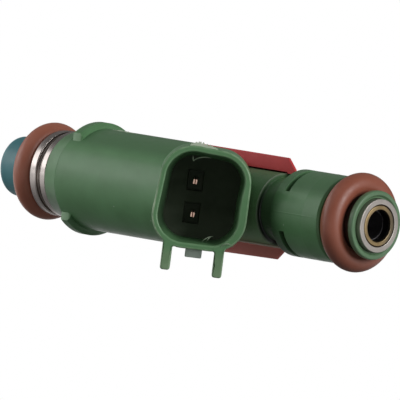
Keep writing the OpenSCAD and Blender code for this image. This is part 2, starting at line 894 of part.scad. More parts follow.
overmold_body();
rear_saddle();
oring_collar();
upper_oring();
lower_oring();
nozzle_cap();
valve_body();
seat_retainer();
orifice_plate();
valve_seat();
ball_guide();
valve_ball();
needle_tube();
armature();
nonmagnetic_ring();
return_spring();
adjusting_tube();
inlet_tube();
filter_ring();
filter_frame();
filter_mesh();
coil_bobbin();
coil_winding();
coil_housing();
flux_washer();
terminal_upper();
terminal_lower();
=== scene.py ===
from math import acos, asin, copysign, cos, pi, radians, sin, sqrt, tan

import bpy
import numpy as np
from mathutils import Matrix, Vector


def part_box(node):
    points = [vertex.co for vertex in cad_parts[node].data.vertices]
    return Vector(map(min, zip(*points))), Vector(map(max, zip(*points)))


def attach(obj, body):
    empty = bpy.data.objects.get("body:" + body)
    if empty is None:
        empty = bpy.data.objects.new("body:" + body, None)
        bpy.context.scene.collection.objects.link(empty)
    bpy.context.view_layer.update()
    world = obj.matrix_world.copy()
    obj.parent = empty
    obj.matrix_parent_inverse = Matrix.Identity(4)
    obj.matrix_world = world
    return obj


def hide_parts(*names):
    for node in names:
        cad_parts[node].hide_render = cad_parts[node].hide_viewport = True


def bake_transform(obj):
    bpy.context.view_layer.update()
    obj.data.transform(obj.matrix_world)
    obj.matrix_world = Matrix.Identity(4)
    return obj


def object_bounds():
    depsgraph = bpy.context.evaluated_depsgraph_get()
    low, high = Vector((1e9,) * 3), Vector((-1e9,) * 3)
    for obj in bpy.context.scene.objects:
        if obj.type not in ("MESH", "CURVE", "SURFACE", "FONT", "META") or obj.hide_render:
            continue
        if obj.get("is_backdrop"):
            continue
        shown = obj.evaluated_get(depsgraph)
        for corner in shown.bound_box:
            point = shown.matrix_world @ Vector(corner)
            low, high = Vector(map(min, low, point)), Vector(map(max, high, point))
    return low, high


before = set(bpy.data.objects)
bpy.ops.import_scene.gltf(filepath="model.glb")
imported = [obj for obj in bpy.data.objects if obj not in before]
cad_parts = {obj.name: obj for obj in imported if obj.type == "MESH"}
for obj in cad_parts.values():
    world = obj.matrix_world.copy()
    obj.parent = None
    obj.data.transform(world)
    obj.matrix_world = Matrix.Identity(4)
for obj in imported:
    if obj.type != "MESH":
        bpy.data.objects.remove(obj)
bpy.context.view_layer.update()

mm = 0.001


def nodeSpan(node):
    # Where a node lies along the injector's axis, and how far it reaches from it, in millimetres
    low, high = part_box(node)
    return low.x / mm, high.x / mm, high.z / mm


# Stations along the axis, in millimetres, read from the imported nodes
capStart, capEnd, capRadius = nodeSpan("nozzle_cap")
mouldStart, mouldEnd, _ = nodeSpan("overmold_body")
steelStart, _, steelRadius = nodeSpan("valve_body")
tubeStart, tubeEnd, tubeRadius = nodeSpan("inlet_tube")
neckStart, _, barrelRadius = nodeSpan("rear_saddle")
canStart, canEnd, canRadius = nodeSpan("coil_housing")
collarStart, collarEnd, collarRadius = nodeSpan("oring_collar")
lowerSealStart, lowerSealEnd, sealRadius = nodeSpan("lower_oring")
upperSealStart, upperSealEnd, _ = nodeSpan("upper_oring")
brassStart, brassEnd, brassRadius = nodeSpan("filter_ring")
springLow, springHigh, springRadius = nodeSpan("return_spring")
mouldBore = sealRadius - (upperSealEnd - upperSealStart)
neckEnd = 55.7  # where the neck and the level part of the saddle end

print("frame loaded:", len(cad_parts), "nodes")


def putPiece(name, corners, faces, smoothBelow=40.0):
    # Points in millimetres and faces become one piece, turned so that its volume is positive
    corners = np.asarray(corners, float) * mm
    volume = 0.0
    for sides in (3, 4):
        group = np.array([face for face in faces if len(face) == sides])
        for k in range(1, sides - 1):
            if len(group):
                a, b, c = (corners[group[:, i]] for i in (0, k, k + 1))
                volume += np.einsum("ij,ij->i", a, np.cross(b, c)).sum()
    if volume < 0:
        faces = [face[::-1] for face in faces]
    mesh = bpy.data.meshes.new(name)
    mesh.from_pydata(corners.tolist(), [], faces)
    mesh.validate()
    mesh.shade_smooth()
    mesh.set_sharp_from_angle(angle=radians(smoothBelow))
    piece = bpy.data.objects.new(name, mesh)
    bpy.context.scene.collection.objects.link(piece)
    return piece


def gridFaces(rows, columns, closeRows, closeColumns):
    # Quads between neighbours of a grid of points, going round where a side is closed
    i = np.arange(rows if closeRows else rows - 1)
    j = np.arange(columns if closeColumns else columns - 1)
    i, j = (a.ravel() for a in np.meshgrid(i, j, indexing="ij"))
    down, right = (i + 1) % rows * columns, (j + 1) % columns
    return np.stack([i * columns + j, i * columns + right, down + right, down + j], 1).tolist()


def capFaces(ring, centre):
    # A fan from a ring of points to one point in the middle
    return [[a, b, centre] for a, b in zip(ring, ring[1:] + ring[:1])]


def ringGrid(name, grid, smoothBelow=40.0):
    # A grid that is closed both ways, such as a profile turned all the way round
    rows, columns = grid.shape[:2]
    return putPiece(name, grid.reshape(-1, 3), gridFaces(rows, columns, True, True), smoothBelow)


def loftGrid(name, grid, smoothBelow=40.0):
    # Closed outlines one after the other, with a fan at both ends
    rows, columns = grid.shape[:2]
    corners = np.concatenate([grid.reshape(-1, 3), [grid[0].mean(0)], [grid[-1].mean(0)]])
    count = rows * columns
    faces = gridFaces(rows, columns, False, True)
    faces += capFaces(list(range(columns))[::-1], count)
    faces += capFaces(list(range(count - columns, count)), count + 1)
    return putPiece(name, corners, faces, smoothBelow)


def pointRows(*columns):
    # Values side by side become rows of points; a single number is repeated
    return np.stack(np.broadcast_arrays(*columns), -1)


def unit(vectors):
    # Each vector divided by its length
    return vectors / np.linalg.norm(vectors, axis=-1, keepdims=True)


def windingSign(outline):
    # One for an outline that runs counter-clockwise, minus one for the other way
    x, y = outline.T
    return 1 if (x * np.roll(y, -1) - np.roll(x, -1) * y).sum() > 0 else -1


def roundedProfile(corners, steps=5, support=0.06):
    # A closed outline: each corner (x, y, radius) becomes an arc tangent to its two sides,
    # with one more point just outside both ends of the arc so that flat sides shade flat
    corners = np.asarray(corners, float)
    straight, arcShare, supportShare = radians(178), 0.45, 0.48
    out = []
    for here, before, after in zip(corners, np.roll(corners, 1, 0), np.roll(corners, -1, 0)):
        p, radius = here[:2], here[2]
        a, b = before[:2] - p, after[:2] - p
        lenA, lenB = np.hypot(*a), np.hypot(*b)
        a, b = a / lenA, b / lenB
        between = acos(np.clip(a @ b, -1, 1))
        if radius <= 0 or between > straight:
            out.append(p[None])
            continue
        reach = min(radius / tan(between / 2), arcShare * lenA, arcShare * lenB)
        radius = reach * tan(between / 2)
        middle = p + unit(a + b) * radius / sin(between / 2)
        start, end = p + a * reach - middle, p + b * reach - middle
        sweep = pi - between
        u = np.linspace(0, 1, steps + 1)[:, None]
        arc = middle + (np.sin((1 - u) * sweep) * start + np.sin(u * sweep) * end) / sin(sweep)
        ahead = p + a * min(reach + support, supportShare * lenA)
        behind = p + b * min(reach + support, supportShare * lenB)
        out.append(np.concatenate([ahead[None], arc, behind[None]]))
    return np.concatenate(out)


def insetCorners(corners, inset):
    # The same outline moved inwards: each corner goes along both its sides' normals
    corners = np.asarray(corners, float)
    p = corners[:, :2]
    sides = (p - np.roll(p, 1, 0), np.roll(p, -1, 0) - p)
    n1, n2 = (windingSign(p) * unit(pointRows(-side[:, 1], side[:, 0])) for side in sides)
    moved = p + (n1 + n2) * inset / (1 + (n1 * n2).sum(1, keepdims=True))
    return np.concatenate([moved, corners[:, 2:]], 1)


def addStations(profile, stations, outside):
    # Puts more points on the sides of a profile that lie outside a radius, where they pass the stations
    out = []
    for a, b in zip(profile, np.roll(profile, -1, 0)):
        out.append(a[None])
        if min(a[1], b[1]) < outside or abs(b[0] - a[0]) < 1e-6:
            continue
        share = (np.asarray(stations) - a[0]) / (b[0] - a[0])
        share = np.sort(share[(share > 0.001) & (share < 0.999)])[:, None]
        out.append(a + share * (b - a))
    return np.concatenate(out)


def turnProfile(profile, angles):
    # A profile of station and radius goes round the axis: angle 0 is up and 90 degrees the socket's side
    x, r = profile[:, :1], profile[:, 1:2]
    return pointRows(x, -r * np.sin(angles), r * np.cos(angles))


def evenAngles(count):
    return np.linspace(0, 2 * pi, count, endpoint=False)


def turnPiece(name, corners, steps, around, support=0.06):
    # Corners of station, radius and rounding become a profile that goes once round the axis
    return ringGrid(name, turnProfile(roundedProfile(corners, steps, support), evenAngles(around)))


def sweepSection(name, path, up, sections, smoothBelow):
    # A closed section is carried along a path, square to the mean direction at each point
    ahead = unit(np.diff(path, axis=0))
    mean = unit(np.concatenate([ahead[:1], ahead[:-1] + ahead[1:], ahead[-1:]]))
    side = unit(np.cross(mean, up))
    rise = np.cross(side, mean)
    grid = path[:, None] + sections[..., :1] * side[:, None] + sections[..., 1:] * rise[:, None]
    return loftGrid(name, grid, smoothBelow)


def smoothStep(value, low, high):
    # 3 t^2 - 2 t^3, where t is the share of the way from low to high
    t = np.clip((value - low) / (high - low), 0, 1)
    return t * t * (3 - 2 * t)


def stretch(value, rise, fall):
    # One from the rise to the fall, each a pair of places between which it changes
    return smoothStep(value, *rise) * (1 - smoothStep(value, *fall))


def ridgeAt(value, middle, width):
    # exp(-((value - middle) / half the width)^2)
    return np.exp(-((value - middle) / (width / 2)) ** 2)


def tint(red, green, blue):
    # 8-bit colour to the shader's own linear values
    value = np.array([red, green, blue]) / 255
    linear = np.where(value <= 0.04045, value / 12.92, ((value + 0.055) / 1.055) ** 2.4)
    return (*linear, 1.0)


def newMaterial(name):
    made = bpy.data.materials.new(name)
    made.use_nodes = True
    return made, made.node_tree, made.node_tree.nodes["Principled BSDF"]


def addNode(tree, kind, inputs=(), **settings):
    node = tree.nodes.new("ShaderNode" + kind)
    for key, value in settings.items():
        setattr(node, key, value)
    for key, value in dict(inputs).items():
        if isinstance(value, bpy.types.NodeSocket):
            tree.links.new(value, node.inputs[key])
        else:
            node.inputs[key].default_value = value
    return node


def objectPoints(tree):
    # Object coordinates in millimetres
    place = addNode(tree, "TexCoord").outputs["Object"]
    return addNode(tree, "Mapping", {"Vector": place, "Scale": (1 / mm, 1 / mm, 1 / mm)}).outputs["Vector"]


def noise(tree, points, scale, detail=2.0, roughness=0.5):
    inputs = {"Vector": points, "Scale": scale, "Detail": detail, "Roughness": roughness}
    return addNode(tree, "TexNoise", inputs).outputs["Fac"]


def ramp(tree, value, low, high, toLow=0.0, toHigh=1.0):
    inputs = {"Value": value, "From Min": low, "From Max": high, "To Min": toLow, "To Max": toHigh}
    return addNode(tree, "MapRange", inputs).outputs["Result"]


def calc(tree, operation, a, b=0.0):
    return addNode(tree, "Math", {0: a, 1: b}, operation=operation).outputs[0]


def times(tree, a, b):
    return calc(tree, "MULTIPLY", a, b)


def mixColour(tree, share, first, second):
    return addNode(tree, "Mix", {0: share, 6: first, 7: second}, data_type="RGBA").outputs[2]


def bump(tree, height, depth, under=None):
    # Height times depth, where depth is in millimetres
    inputs = {"Height": height, "Distance": depth * mm, "Strength": 1.0}
    if under is not None:
        inputs["Normal"] = under
    return addNode(tree, "Bump", inputs).outputs["Normal"]


def axisPlace(tree, axis):
    # The object coordinate along one axis, in millimetres
    return addNode(tree, "SeparateXYZ", {"Vector": objectPoints(tree)}).outputs[axis]


def axisRamp(tree, axis, low, high, toLow, toHigh):
    return ramp(tree, axisPlace(tree, axis), low, high, toLow, toHigh)


def lineDistance(tree, direction):
    # The object coordinate along any direction, in millimetres
    inputs = {0: objectPoints(tree), 1: tuple(direction)}
    return addNode(tree, "VectorMath", inputs, operation="DOT_PRODUCT").outputs["Value"]


def fromAxis(tree, place):
    # Distance from the injector's axis: sqrt(y^2 + z^2)
    squares = [times(tree, place[axis], place[axis]) for axis in "YZ"]
    return calc(tree, "SQRT", calc(tree, "ADD", *squares))


def linkShader(tree, shader, base, rough, normal):
    for key, value in (("Base Color", base), ("Roughness", rough), ("Normal", normal)):
        tree.links.new(value, shader.inputs[key])


fineGrain = {"scale": 7.0, "depth": 0.008}
dust = {"scale": 0.55, "near": 0.035, "far": 0.05, "colour": (190, 200, 185)}


def mouldedPlastic(name, colour, darker, roughness, specks=0.0, gloss=0.5, grain=fineGrain, eroded=None):
    # Base colour = colour mixed to darker by slow noise; height = fine noise, plus coarse grain inside the
    # eroded stretch along X; dust = cells whose middle lies close to the surface, for a share of the cells
    made, tree, shader = newMaterial(name)
    shader.inputs["Specular IOR Level"].default_value = gloss
    points = objectPoints(tree)
    cloud = ramp(tree, noise(tree, points, 0.22, 3), 0.35, 0.65)
    base = mixColour(tree, cloud, tint(*colour), tint(*darker))
    rough = ramp(tree, noise(tree, points, 0.9, 3), 0.3, 0.7, roughness - 0.04, roughness + 0.05)
    normal = bump(tree, noise(tree, points, grain["scale"]), grain["depth"])
    if eroded:
        start, end, edge = eroded["start"], eroded["end"], eroded["edge"]
        place = axisPlace(tree, "X")
        rise, fall = ramp(tree, place, start, start + edge), ramp(tree, place, end - edge, end, 1, 0)
        inside = times(tree, rise, fall)
        pits = times(tree, noise(tree, points, eroded["scale"], 4, 0.65), inside)
        normal = bump(tree, pits, eroded["depth"], normal)
        rough = calc(tree, "ADD", rough, times(tree, inside, eroded["rougher"]))
        base = mixColour(tree, times(tree, inside, eroded["shade"]), base, tint(*eroded["colour"]))
    if specks > 0:
        cells = addNode(tree, "TexVoronoi", {"Vector": points, "Scale": dust["scale"], "Randomness": 1.0})
        near = ramp(tree, cells.outputs["Distance"], dust["near"], dust["far"], 1, 0)
        pick = addNode(tree, "SeparateColor", {"Color": cells.outputs["Color"]}).outputs[0]
        share = times(tree, near, calc(tree, "LESS_THAN", pick, specks))
        base = mixColour(tree, share, base, tint(*dust["colour"]))
    linkShader(tree, shader, base, rough, normal)
    return made


def turnedMetal(name, colour, roughness, lines, depth, stain=None):
    # Metallic; height = noise of station and distance from the axis only, which gives turning rings;
    # base colour = colour mixed by blotches to the stain, or else to the same colour a little darker
    made, tree, shader = newMaterial(name)
    shader.inputs["Metallic"].default_value = 1.0
    points = objectPoints(tree)
    place = addNode(tree, "SeparateXYZ", {"Vector": points}).outputs
    rings = {"X": place["X"], "Y": fromAxis(tree, place), "Z": 0.0}
    ringed = addNode(tree, "CombineXYZ", rings).outputs["Vector"]
    normal = bump(tree, noise(tree, ringed, lines, 3, 0.6), depth)
    blotch = ramp(tree, noise(tree, points, 0.6, 4), 0.35, 0.7)
    clean = tint(*colour)
    stained = tint(*stain) if stain else (*(0.86 * part for part in clean[:3]), 1.0)
    rough = ramp(tree, noise(tree, ringed, lines / 3), 0.3, 0.7, roughness - 0.05, roughness + 0.07)
    linkShader(tree, shader, mixColour(tree, blotch, clean, stained), rough, normal)
    return made


def rubber(name, colour, bloom, roughness):
    # Base colour = colour mixed to a dusty bloom by noise; height = very fine noise
    made, tree, shader = newMaterial(name)
    points = objectPoints(tree)
    share = ramp(tree, noise(tree, points, 0.5, 4, 0.6), 0.4, 0.75, 0, 0.5)
    base = mixColour(tree, share, tint(*colour), tint(*bloom))
    rough = ramp(tree, noise(tree, points, 1.6, 3), 0.3, 0.7, roughness - 0.05, roughness + 0.06)
    linkShader(tree, shader, base, rough, bump(tree, noise(tree, points, 9, 3), 0.012))
    return made


neckErosion = {"start": neckStart + 2.8, "end": neckEnd, "edge": 0.1, "scale": 5.5, "depth": 0.09,
               "rougher": 0.12, "shade": 0.6, "colour": (82, 108, 78)}
saddleGrain = {"scale": 5, "depth": 0.03}

# Colour, darker colour, roughness, share of dust specks, gloss
greenPlastic = mouldedPlastic("greenNylon", (95, 143, 96), (87, 133, 87), 0.35, 0.5, 0.38, eroded=neckErosion)
socketPlastic = mouldedPlastic("greenNylonSocket", (94, 138, 95), (88, 132, 88), 0.42, 0.5, 0.4)
lugPlastic = mouldedPlastic("greenNylonLugs", (92, 136, 93), (84, 126, 84), 0.40, 0.0, 0.38)
# Painted shade: the socket floor's finish is a dark copy of the green, for the deep cup
innerPlastic = mouldedPlastic("nylonFloorPaintedShade", (62, 72, 56), (52, 61, 47), 0.55, 0.1, 0.12)
collarPlastic = mouldedPlastic("greenCollarNylon", (96, 130, 95), (88, 120, 87), 0.35, 0.3)
redPlastic = mouldedPlastic("redNylon", (208, 70, 72), (196, 62, 66), 0.60, 0.5, 0.32, saddleGrain)
tealPlastic = mouldedPlastic("tealNylon", (68, 134, 142), (62, 124, 132), 0.42, 0.3)
blackPlastic = mouldedPlastic("blackNylon", (34, 33, 32), (28, 27, 27), 0.45)
# Partly painted shade: the filter's black sleeve, near black with almost no gloss so that the deep bore reads
# dark
liningPlastic = mouldedPlastic("blackNylonLining", (16, 15, 13), (12, 11, 10), 0.6, 0.0, 0.04)
gatePlastic = mouldedPlastic("greenNylonGate", (126, 156, 122), (112, 140, 108), 0.5)
# Painted light: the latch gets a much paler copy of the green, standing in for light on its shaded face
latchPaintedLightPlastic = mouldedPlastic("greenNylonLatchPaintedLight", (202, 218, 206), (186, 202, 190), 0.5)
flashPlastic = mouldedPlastic("greenNylonFlash", (198, 208, 188), (160, 180, 152), 0.5)
# Partly painted light: a pale flash strip, its colour raised near white for the light it would catch in the
# shade
paleFlash = mouldedPlastic("redNylonFlash", (250, 232, 222), (226, 200, 190), 0.5)
# Colour, bloom, roughness
upperRubber = rubber("brownRubber", (144, 80, 60), (150, 90, 72), 0.42)
# Painted light: the lower ring gets a lighter copy of the same brown rubber
lowerRubberPaintedLight = rubber("brownRubberLowerPaintedLight", (166, 98, 76), (170, 108, 88), 0.40)
# Colour, roughness, turning lines per millimetre, their depth
steelFinish = turnedMetal("turnedSteel", (176, 168, 164), 0.26, 4.0, 0.0006)
tubeFinish = turnedMetal("drawnSteel", (172, 166, 160), 0.42, 7.0, 0.002)
magneticFinish = turnedMetal("magneticSteel", (150, 148, 150), 0.35, 8.0, 0.012)
brassFinish = turnedMetal("drawnBrass", (160, 140, 104), 0.36, 6.0, 0.002, stain=(128, 108, 76))
copperFinish = turnedMetal("copperAlloy", (236, 200, 180), 0.32, 8.0, 0.004)
print("materials made:", len(bpy.data.materials))


def shadeWhere(made, mask, colour):
    # The finish's base colour, mixed towards a colour where the mask is one
    tree = made.node_tree
    socket = tree.nodes["Principled BSDF"].inputs["Base Color"]
    base = socket.links[0].from_socket
    tree.links.new(mixColour(tree, mask, base, tint(*colour)), socket)


def grooveMask(tree, middle, width, below):
    # One between two stations and below a radius: |x - middle| < width / 2 and sqrt(y^2 + z^2) < below
    place = addNode(tree, "SeparateXYZ", {"Vector": objectPoints(tree)}).outputs
    off = calc(tree, "ABSOLUTE", calc(tree, "SUBTRACT", place["X"], middle))
    return times(tree, ramp(tree, off, width / 2, width / 2 + 0.06, 1, 0),
                 ramp(tree, fromAxis(tree, place), below - 0.2, below, 1, 0))


def fadeUpwards(tree, mask, low, high, least):
    # The mask as it is below one height, falling to its least share at the other
    return times(tree, mask, axisRamp(tree, "Z", low, high, 1, least))


# The works inside stay as the CAD made them, and get a finish
worksInside = (
    (steelFinish, ("seat_retainer", "orifice_plate", "valve_seat", "ball_guide", "valve_ball", "needle_tube",
                   "nonmagnetic_ring", "adjusting_tube")),
    (magneticFinish, ("armature", "filter_mesh", "coil_housing", "flux_washer")),
    (blackPlastic, ("filter_frame", "coil_bobbin")),
    (copperFinish, ("coil_winding",)),
)
for finish, nodeNames in worksInside:
    for nodeName in nodeNames:
        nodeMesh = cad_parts[nodeName].data
        nodeMesh.materials.clear()
        nodeMesh.materials.append(finish)


def dress(piece, finish, slotName, *replaced):
    # Gives a piece its finish and its body, and hides the CAD nodes that it stands for; the slot name is not
    # used
    piece.data.materials.append(finish)
    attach(piece, "housing")
    if replaced:
        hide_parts(*replaced)


nozzleCap = {"endWall": 1.7, "tipRound": 0.9, "sprayRadius": 2.9, "throatRadius": 2.2, "edge": 0.12,
             "boreRoom": 0.03}


def makeNozzleCap(c):
    # The cap's wall section goes once round the axis
    bore, edge = mouldBore + c["boreRoom"], c["edge"]
    corners = [(capStart, c["sprayRadius"], 0.25), (capStart, capRadius, c["tipRound"]),
               (capEnd, capRadius, edge), (capEnd, bore, edge), (c["endWall"], bore, 0.05),
               (c["endWall"], c["throatRadius"], 0.05)]
    return turnPiece("nozzle_cap_shell", corners, 8, 128)


dress(makeNozzleCap(nozzleCap), tealPlastic, "teal_plastic", "nozzle_cap")

steelBody = {"grooveStart": 1.4, "grooveWidth": 0.9, "grooveDepth": 0.5, "edge": 0.16, "collarStart": 8.6,
             "noseRadius": 3.925, "boreRadius": 3.065, "chamberRadius": 3.45, "rootRadius": 6.0,
             "rootStep": 0.12, "webStart": 7.6, "webRadius": 2.3, "chamberStart": 14.2, "sleeveEnd": 22.1}
grooveStart = steelBody["collarStart"] + steelBody["grooveStart"]


def makeSteelBody(c):
    # The whole turned part: nose, collar with its groove, root, thin sleeve, and the stepped bore back
    start, edge, grooveEnd = c["collarStart"], c["edge"], grooveStart + c["grooveWidth"]
    low, step, small = steelRadius - c["grooveDepth"], steelRadius - c["rootStep"], 0.05
    nose, bore, chamber, web = c["noseRadius"], c["boreRadius"], c["chamberRadius"], c["webRadius"]
    corners = [
        (steelStart, nose, 0.1), (start, nose, 0.1), (start, steelRadius, 0.3),
        (grooveStart, steelRadius, edge), (grooveStart, low, 0.12), (grooveEnd, low, 0.12),
        (grooveEnd, steelRadius, edge),
        (mouldStart - 0.28, steelRadius, 0.08), (mouldStart - 0.2, step, 0.03), (mouldStart, step, 0.03),
        (mouldStart, c["rootRadius"], small), (canStart, c["rootRadius"], small), (canStart, nose, small),
        (c["sleeveEnd"], nose, small), (c["sleeveEnd"], chamber, small), (c["chamberStart"], chamber, small),
        (c["chamberStart"], web, small), (c["webStart"], web, small), (c["webStart"], bore, small),
        (steelStart, bore, small),
    ]
    return turnPiece("steel_body_turned", corners, 5, 192)


dress(makeSteelBody(steelBody), steelFinish, "turned_steel", "valve_body")
grooveWidth = steelBody["grooveWidth"]
grooveMiddle = grooveStart + grooveWidth / 2
# Painted shade: the steel is darker in its groove
steelGrooveShade = grooveMask(steelFinish.node_tree, grooveMiddle, grooveWidth, steelRadius - 0.15)
shadeWhere(steelFinish, steelGrooveShade, (150, 142, 136))

sealRing = {"flashHeight": 0.03, "flashWidth": 0.12, "around": 160, "section": 48}


def makeSeal(name, start, end, c):
    # A circle round the axis, with a thin ridge of flash at its widest line
    middle, half = (start + end) / 2, (end - start) / 2
    widest = pi / 2
    turn = np.sort(np.concatenate([evenAngles(c["section"]), widest + np.array([-0.09, -0.05, 0.05, 0.09])]))
    ridge = c["flashHeight"] * ridgeAt((turn - widest) * half, 0, c["flashWidth"])
    radius = sealRadius - half + (half + ridge) * np.sin(turn)
    profile = pointRows(middle + half * np.cos(turn), np.minimum(radius, sealRadius))
    return ringGrid(name, turnProfile(profile, evenAngles(c["around"])))


dress(makeSeal("lower_oring_rubber", lowerSealStart, lowerSealEnd, sealRing), lowerRubberPaintedLight, "brown_rubber",
      "lower_oring")
dress(makeSeal("upper_oring_rubber", upperSealStart, upperSealEnd, sealRing), upperRubber, "brown_rubber",
      "upper_oring")
# Painted shade: the upper ring's rubber darkens towards its bottom
shadeWhere(upperRubber, axisRamp(upperRubber.node_tree, "Z", -6.5, -1.5, 0.6, 0), (100, 56, 40))
print("spray end and seals made")

# The socket, with lengths along its own line from the injector's axis
socket = {
    "angle": 45.0, "axisPoint": 38.6, "reach": 21.0, "rise": 0.3, "width": 14.3, "height": 15.0,
    "lean": -0.2, "leanFar": 5.4, "lowerSide": 0.25, "farSide": 0.66, "farRise": 0.27, "inletWall": 0.4,
    "corner": 4.8, "wall": 0.85, "draft": 0.68, "floorShift": (0.08, -0.22), "depth": 9.2, "back": 10.6,
    "rimRound": 0.22, "rimInner": 0.25, "railSpacing": 7.6, "railThickness": 1.44, "railShift": -0.07,
    "railDrop": 10.8, "railSkew": 0.15, "railTip": 0.4, "railRoot": 0.6, "railReach": 0.7, "railTop": -2.0,
    "stemWidth": 12.4, "stemCorner": 3.0, "stemClearance": 0.25, "stemStart": -4.0,
    "wellWidth": 2.3, "wellHeight": 3.0, "wellDepth": 0.6, "wellEdge": 0.04,
    "pinPitch": 4.8, "pinShift": -1.0, "pinSkew": 0.1,
    # Below: places of the lips' lighter band (a pale flash line with a painted highlight) and of the deep
    # wall's painted shade
    "thickAcross": (2.5, 5.0), "thickUp": (-4.5, 0.5), "flashAndSheenAcross": (4.0, 6.5), "flashAndSheenUp": (-2.0, 2.0),
    "flashAndSheenOuter": 0.55, "flashAndSheenLow": 1.2, "flashAndSheenInner": 0.25, "flashAndSheenStrength": 0.55, "deepAcross": (3.0, 5.5),
}
socketTurn = radians(socket["angle"])
socketAlong = np.array([sin(socketTurn), -cos(socketTurn), 0])
socketAcross = np.array([cos(socketTurn), sin(socketTurn), 0])
upright = np.array([0, 0, 1.0])
floorAt = socket["reach"] - socket["depth"]


def socketPlace(along, across, up):
    # Distances along, across and up in the socket's own frame become a point of the injector
    base = np.array([socket["axisPoint"], 0, socket["rise"]])
    return base + pointRows(along, across, up) @ np.array([socketAlong, socketAcross, upright])


mouldedBody = {
    "coneStartRadius": 6.6, "coneEndRadius": 7.3, "coneLength": 3.1, "stepDepth": 0.12, "canStep": 0.36,
    "canRoom": 0.02, "neckRadius": 5.3, "neckMiddle": 51.5, "neckWidth": 8.1,
    "grooveRadius": 4.65, "sleeveStart": 59.7, "sleeveRadius": 6.4, "endEdge": 0.3, "slotMiddle": 61.7,
    "slotWidth": 0.9, "slotDepth": 1.0, "slotEdge": 0.05, "slotTurnEdge": 0.012, "slotUpperHalf": 60.0,
    "slotLowerHalf": 64.0, "ringLineAt": 66.0, "ridge": 0.035, "ridgeWidth": 0.14, "flashAngle": 11.5,
    "nearEnd": 2.6, "nearEndSide": (2.0, 3.2), "nearEndInner": 6.8, "floorSink": 0.12, "cupEdge": (5.7, 6.4),
    "lineSpacing": 0.8, "around": 216,
}
coneEnd = mouldStart + mouldedBody["coneLength"]


def keepUnderFloor(grid, c):
    # Where the neck's side would stand in the socket's cup, it is laid back to just under the cup's floor
    x, y = grid[..., 0] - socket["axisPoint"], grid[..., 1]
    along = x * sin(socketTurn) - y * cos(socketTurn)
    across = x * cos(socketTurn) + y * sin(socketTurn)
    over = np.maximum(along - (floorAt - c["floorSink"]), 0) * (1 - smoothStep(across, *c["cupEdge"]))
    grid[..., 1] += np.where(along < socket["reach"], over, 0) / cos(socketTurn)
    return grid


def makeMouldedBody(c):
    # Radius = the turned profile, less the two clip slots, plus the thin ridges where the mould's parts met
    sleeve, cone, neck, groove = c["sleeveStart"], c["coneEndRadius"], c["neckRadius"], c["grooveRadius"]
    step, canInner, canOuter = cone - c["stepDepth"], canRadius - c["canStep"], canRadius + c["canRoom"]
    radius, endEdge = c["sleeveRadius"], c["endEdge"]
    corners = [
        (mouldStart, canInner, 0.05), (mouldStart, c["coneStartRadius"], 0.1), (coneEnd - 0.2, cone, 0.03),
        (coneEnd - 0.06, step, 0.03), (coneEnd + 0.06, step, 0.03), (coneEnd + 0.12, barrelRadius, 0.12),
        (neckStart, barrelRadius, 0.15), (neckStart, neck, 0.3), (neckEnd, neck, 0.06),
        (neckEnd + 0.1, groove, 0.25), (sleeve, groove, 0.25), (sleeve, radius, 0.08),
        (mouldEnd - endEdge, radius, 0.15), (mouldEnd, radius - endEdge, 0.1),
        (mouldEnd, mouldBore, 0.05), (canEnd, mouldBore, 0.05), (canEnd, canOuter, 0.05),
        (canStart, canOuter, 0.05), (canStart, canInner, 0.05),
    ]
    slotSides = c["slotMiddle"] + np.array([-0.5, 0.5]) * c["slotWidth"]
    edge, turnEdge, width, spacing = c["slotEdge"], c["slotTurnEdge"], c["ridgeWidth"], c["lineSpacing"]
    lines = np.concatenate([
        slotSides[0] + np.linspace(-edge, edge, 5), slotSides[1] + np.linspace(-edge, edge, 5),
        c["ringLineAt"] + np.linspace(-width, width, 7), np.arange(coneEnd + 0.5, neckStart, spacing),
        np.arange(neckStart + 0.5, sleeve, spacing)])
    profile = addStations(roundedProfile(corners), lines, groove - edge)
    slotEnds = np.radians([[c["slotUpperHalf"]], [180 - c["slotLowerHalf"]]])
    ends = slotEnds + np.linspace(-turnEdge, turnEdge, 5)
    ridges = np.radians([[c["flashAngle"]], [90.0], [180 - c["flashAngle"]]]) + np.linspace(-0.02, 0.02, 7)
    angles = np.concatenate([evenAngles(c["around"]), ends.ravel(), -ends.ravel(), ridges.ravel()])
    angles = np.unique(np.round(np.mod(angles, 2 * pi), 5))
    grid = turnProfile(profile, angles)

    x, r, turn = np.broadcast_arrays(profile[:, :1], profile[:, 1:2], angles[None])
    fromTop = np.abs(np.mod(turn + pi, 2 * pi) - pi)
    slotEnd = np.radians(np.where(fromTop < pi / 2, c["slotUpperHalf"], c["slotLowerHalf"]))
    fromSide = np.minimum(fromTop, pi - fromTop)
    slot = stretch(x, slotSides[0] + [-edge, edge], slotSides[1] + [-edge, edge])
    slot = slot * (1 - smoothStep(fromSide, slotEnd - turnEdge, slotEnd + turnEdge)) * c["slotDepth"]
    onSleeve = stretch(x, (sleeve + 0.2, sleeve + 0.4), (mouldEnd - 0.6, mouldEnd - 0.4))
    onBarrel = stretch(x, (coneEnd + 2.9, coneEnd + 3.3), (neckStart - 0.5, neckStart - 0.3))
    onNeck = stretch(x, (neckStart + 0.4, neckStart + 0.6), (neckEnd - 0.3, neckEnd))
    seam = ridgeAt(turn * r, np.radians(c["flashAngle"]) * r, width) * (onBarrel + onNeck)
    side = ridgeAt(turn * r, pi / 2 * r, width) * (onSleeve + onNeck)
    ring = ridgeAt(x, c["ringLineAt"], width) * 0.5 + ridgeAt(x, neckEnd - 0.08, width) * 0.8
    change = c["ridge"] * (seam + 0.7 * side + ring) - slot
    outer = (r > groove - 0.3) & (r <= barrelRadius + 0.1) & ((x > canEnd) | (r > canRadius + 0.05))
    grid[..., 1:] *= (1 + np.where(outer, change, 0) / r)[..., None]
    # The barrel's end face, on the socket's side, is carried on under the socket
    atEnd = (x > neckStart - 0.3) & (x < neckStart + 0.05) & (r > c["nearEndInner"])
    grid[..., 0] += np.where(atEnd, c["nearEnd"] * smoothStep(-grid[..., 1], *c["nearEndSide"]), 0)
    return ringGrid("moulded_body", keepUnderFloor(grid, c), 35)


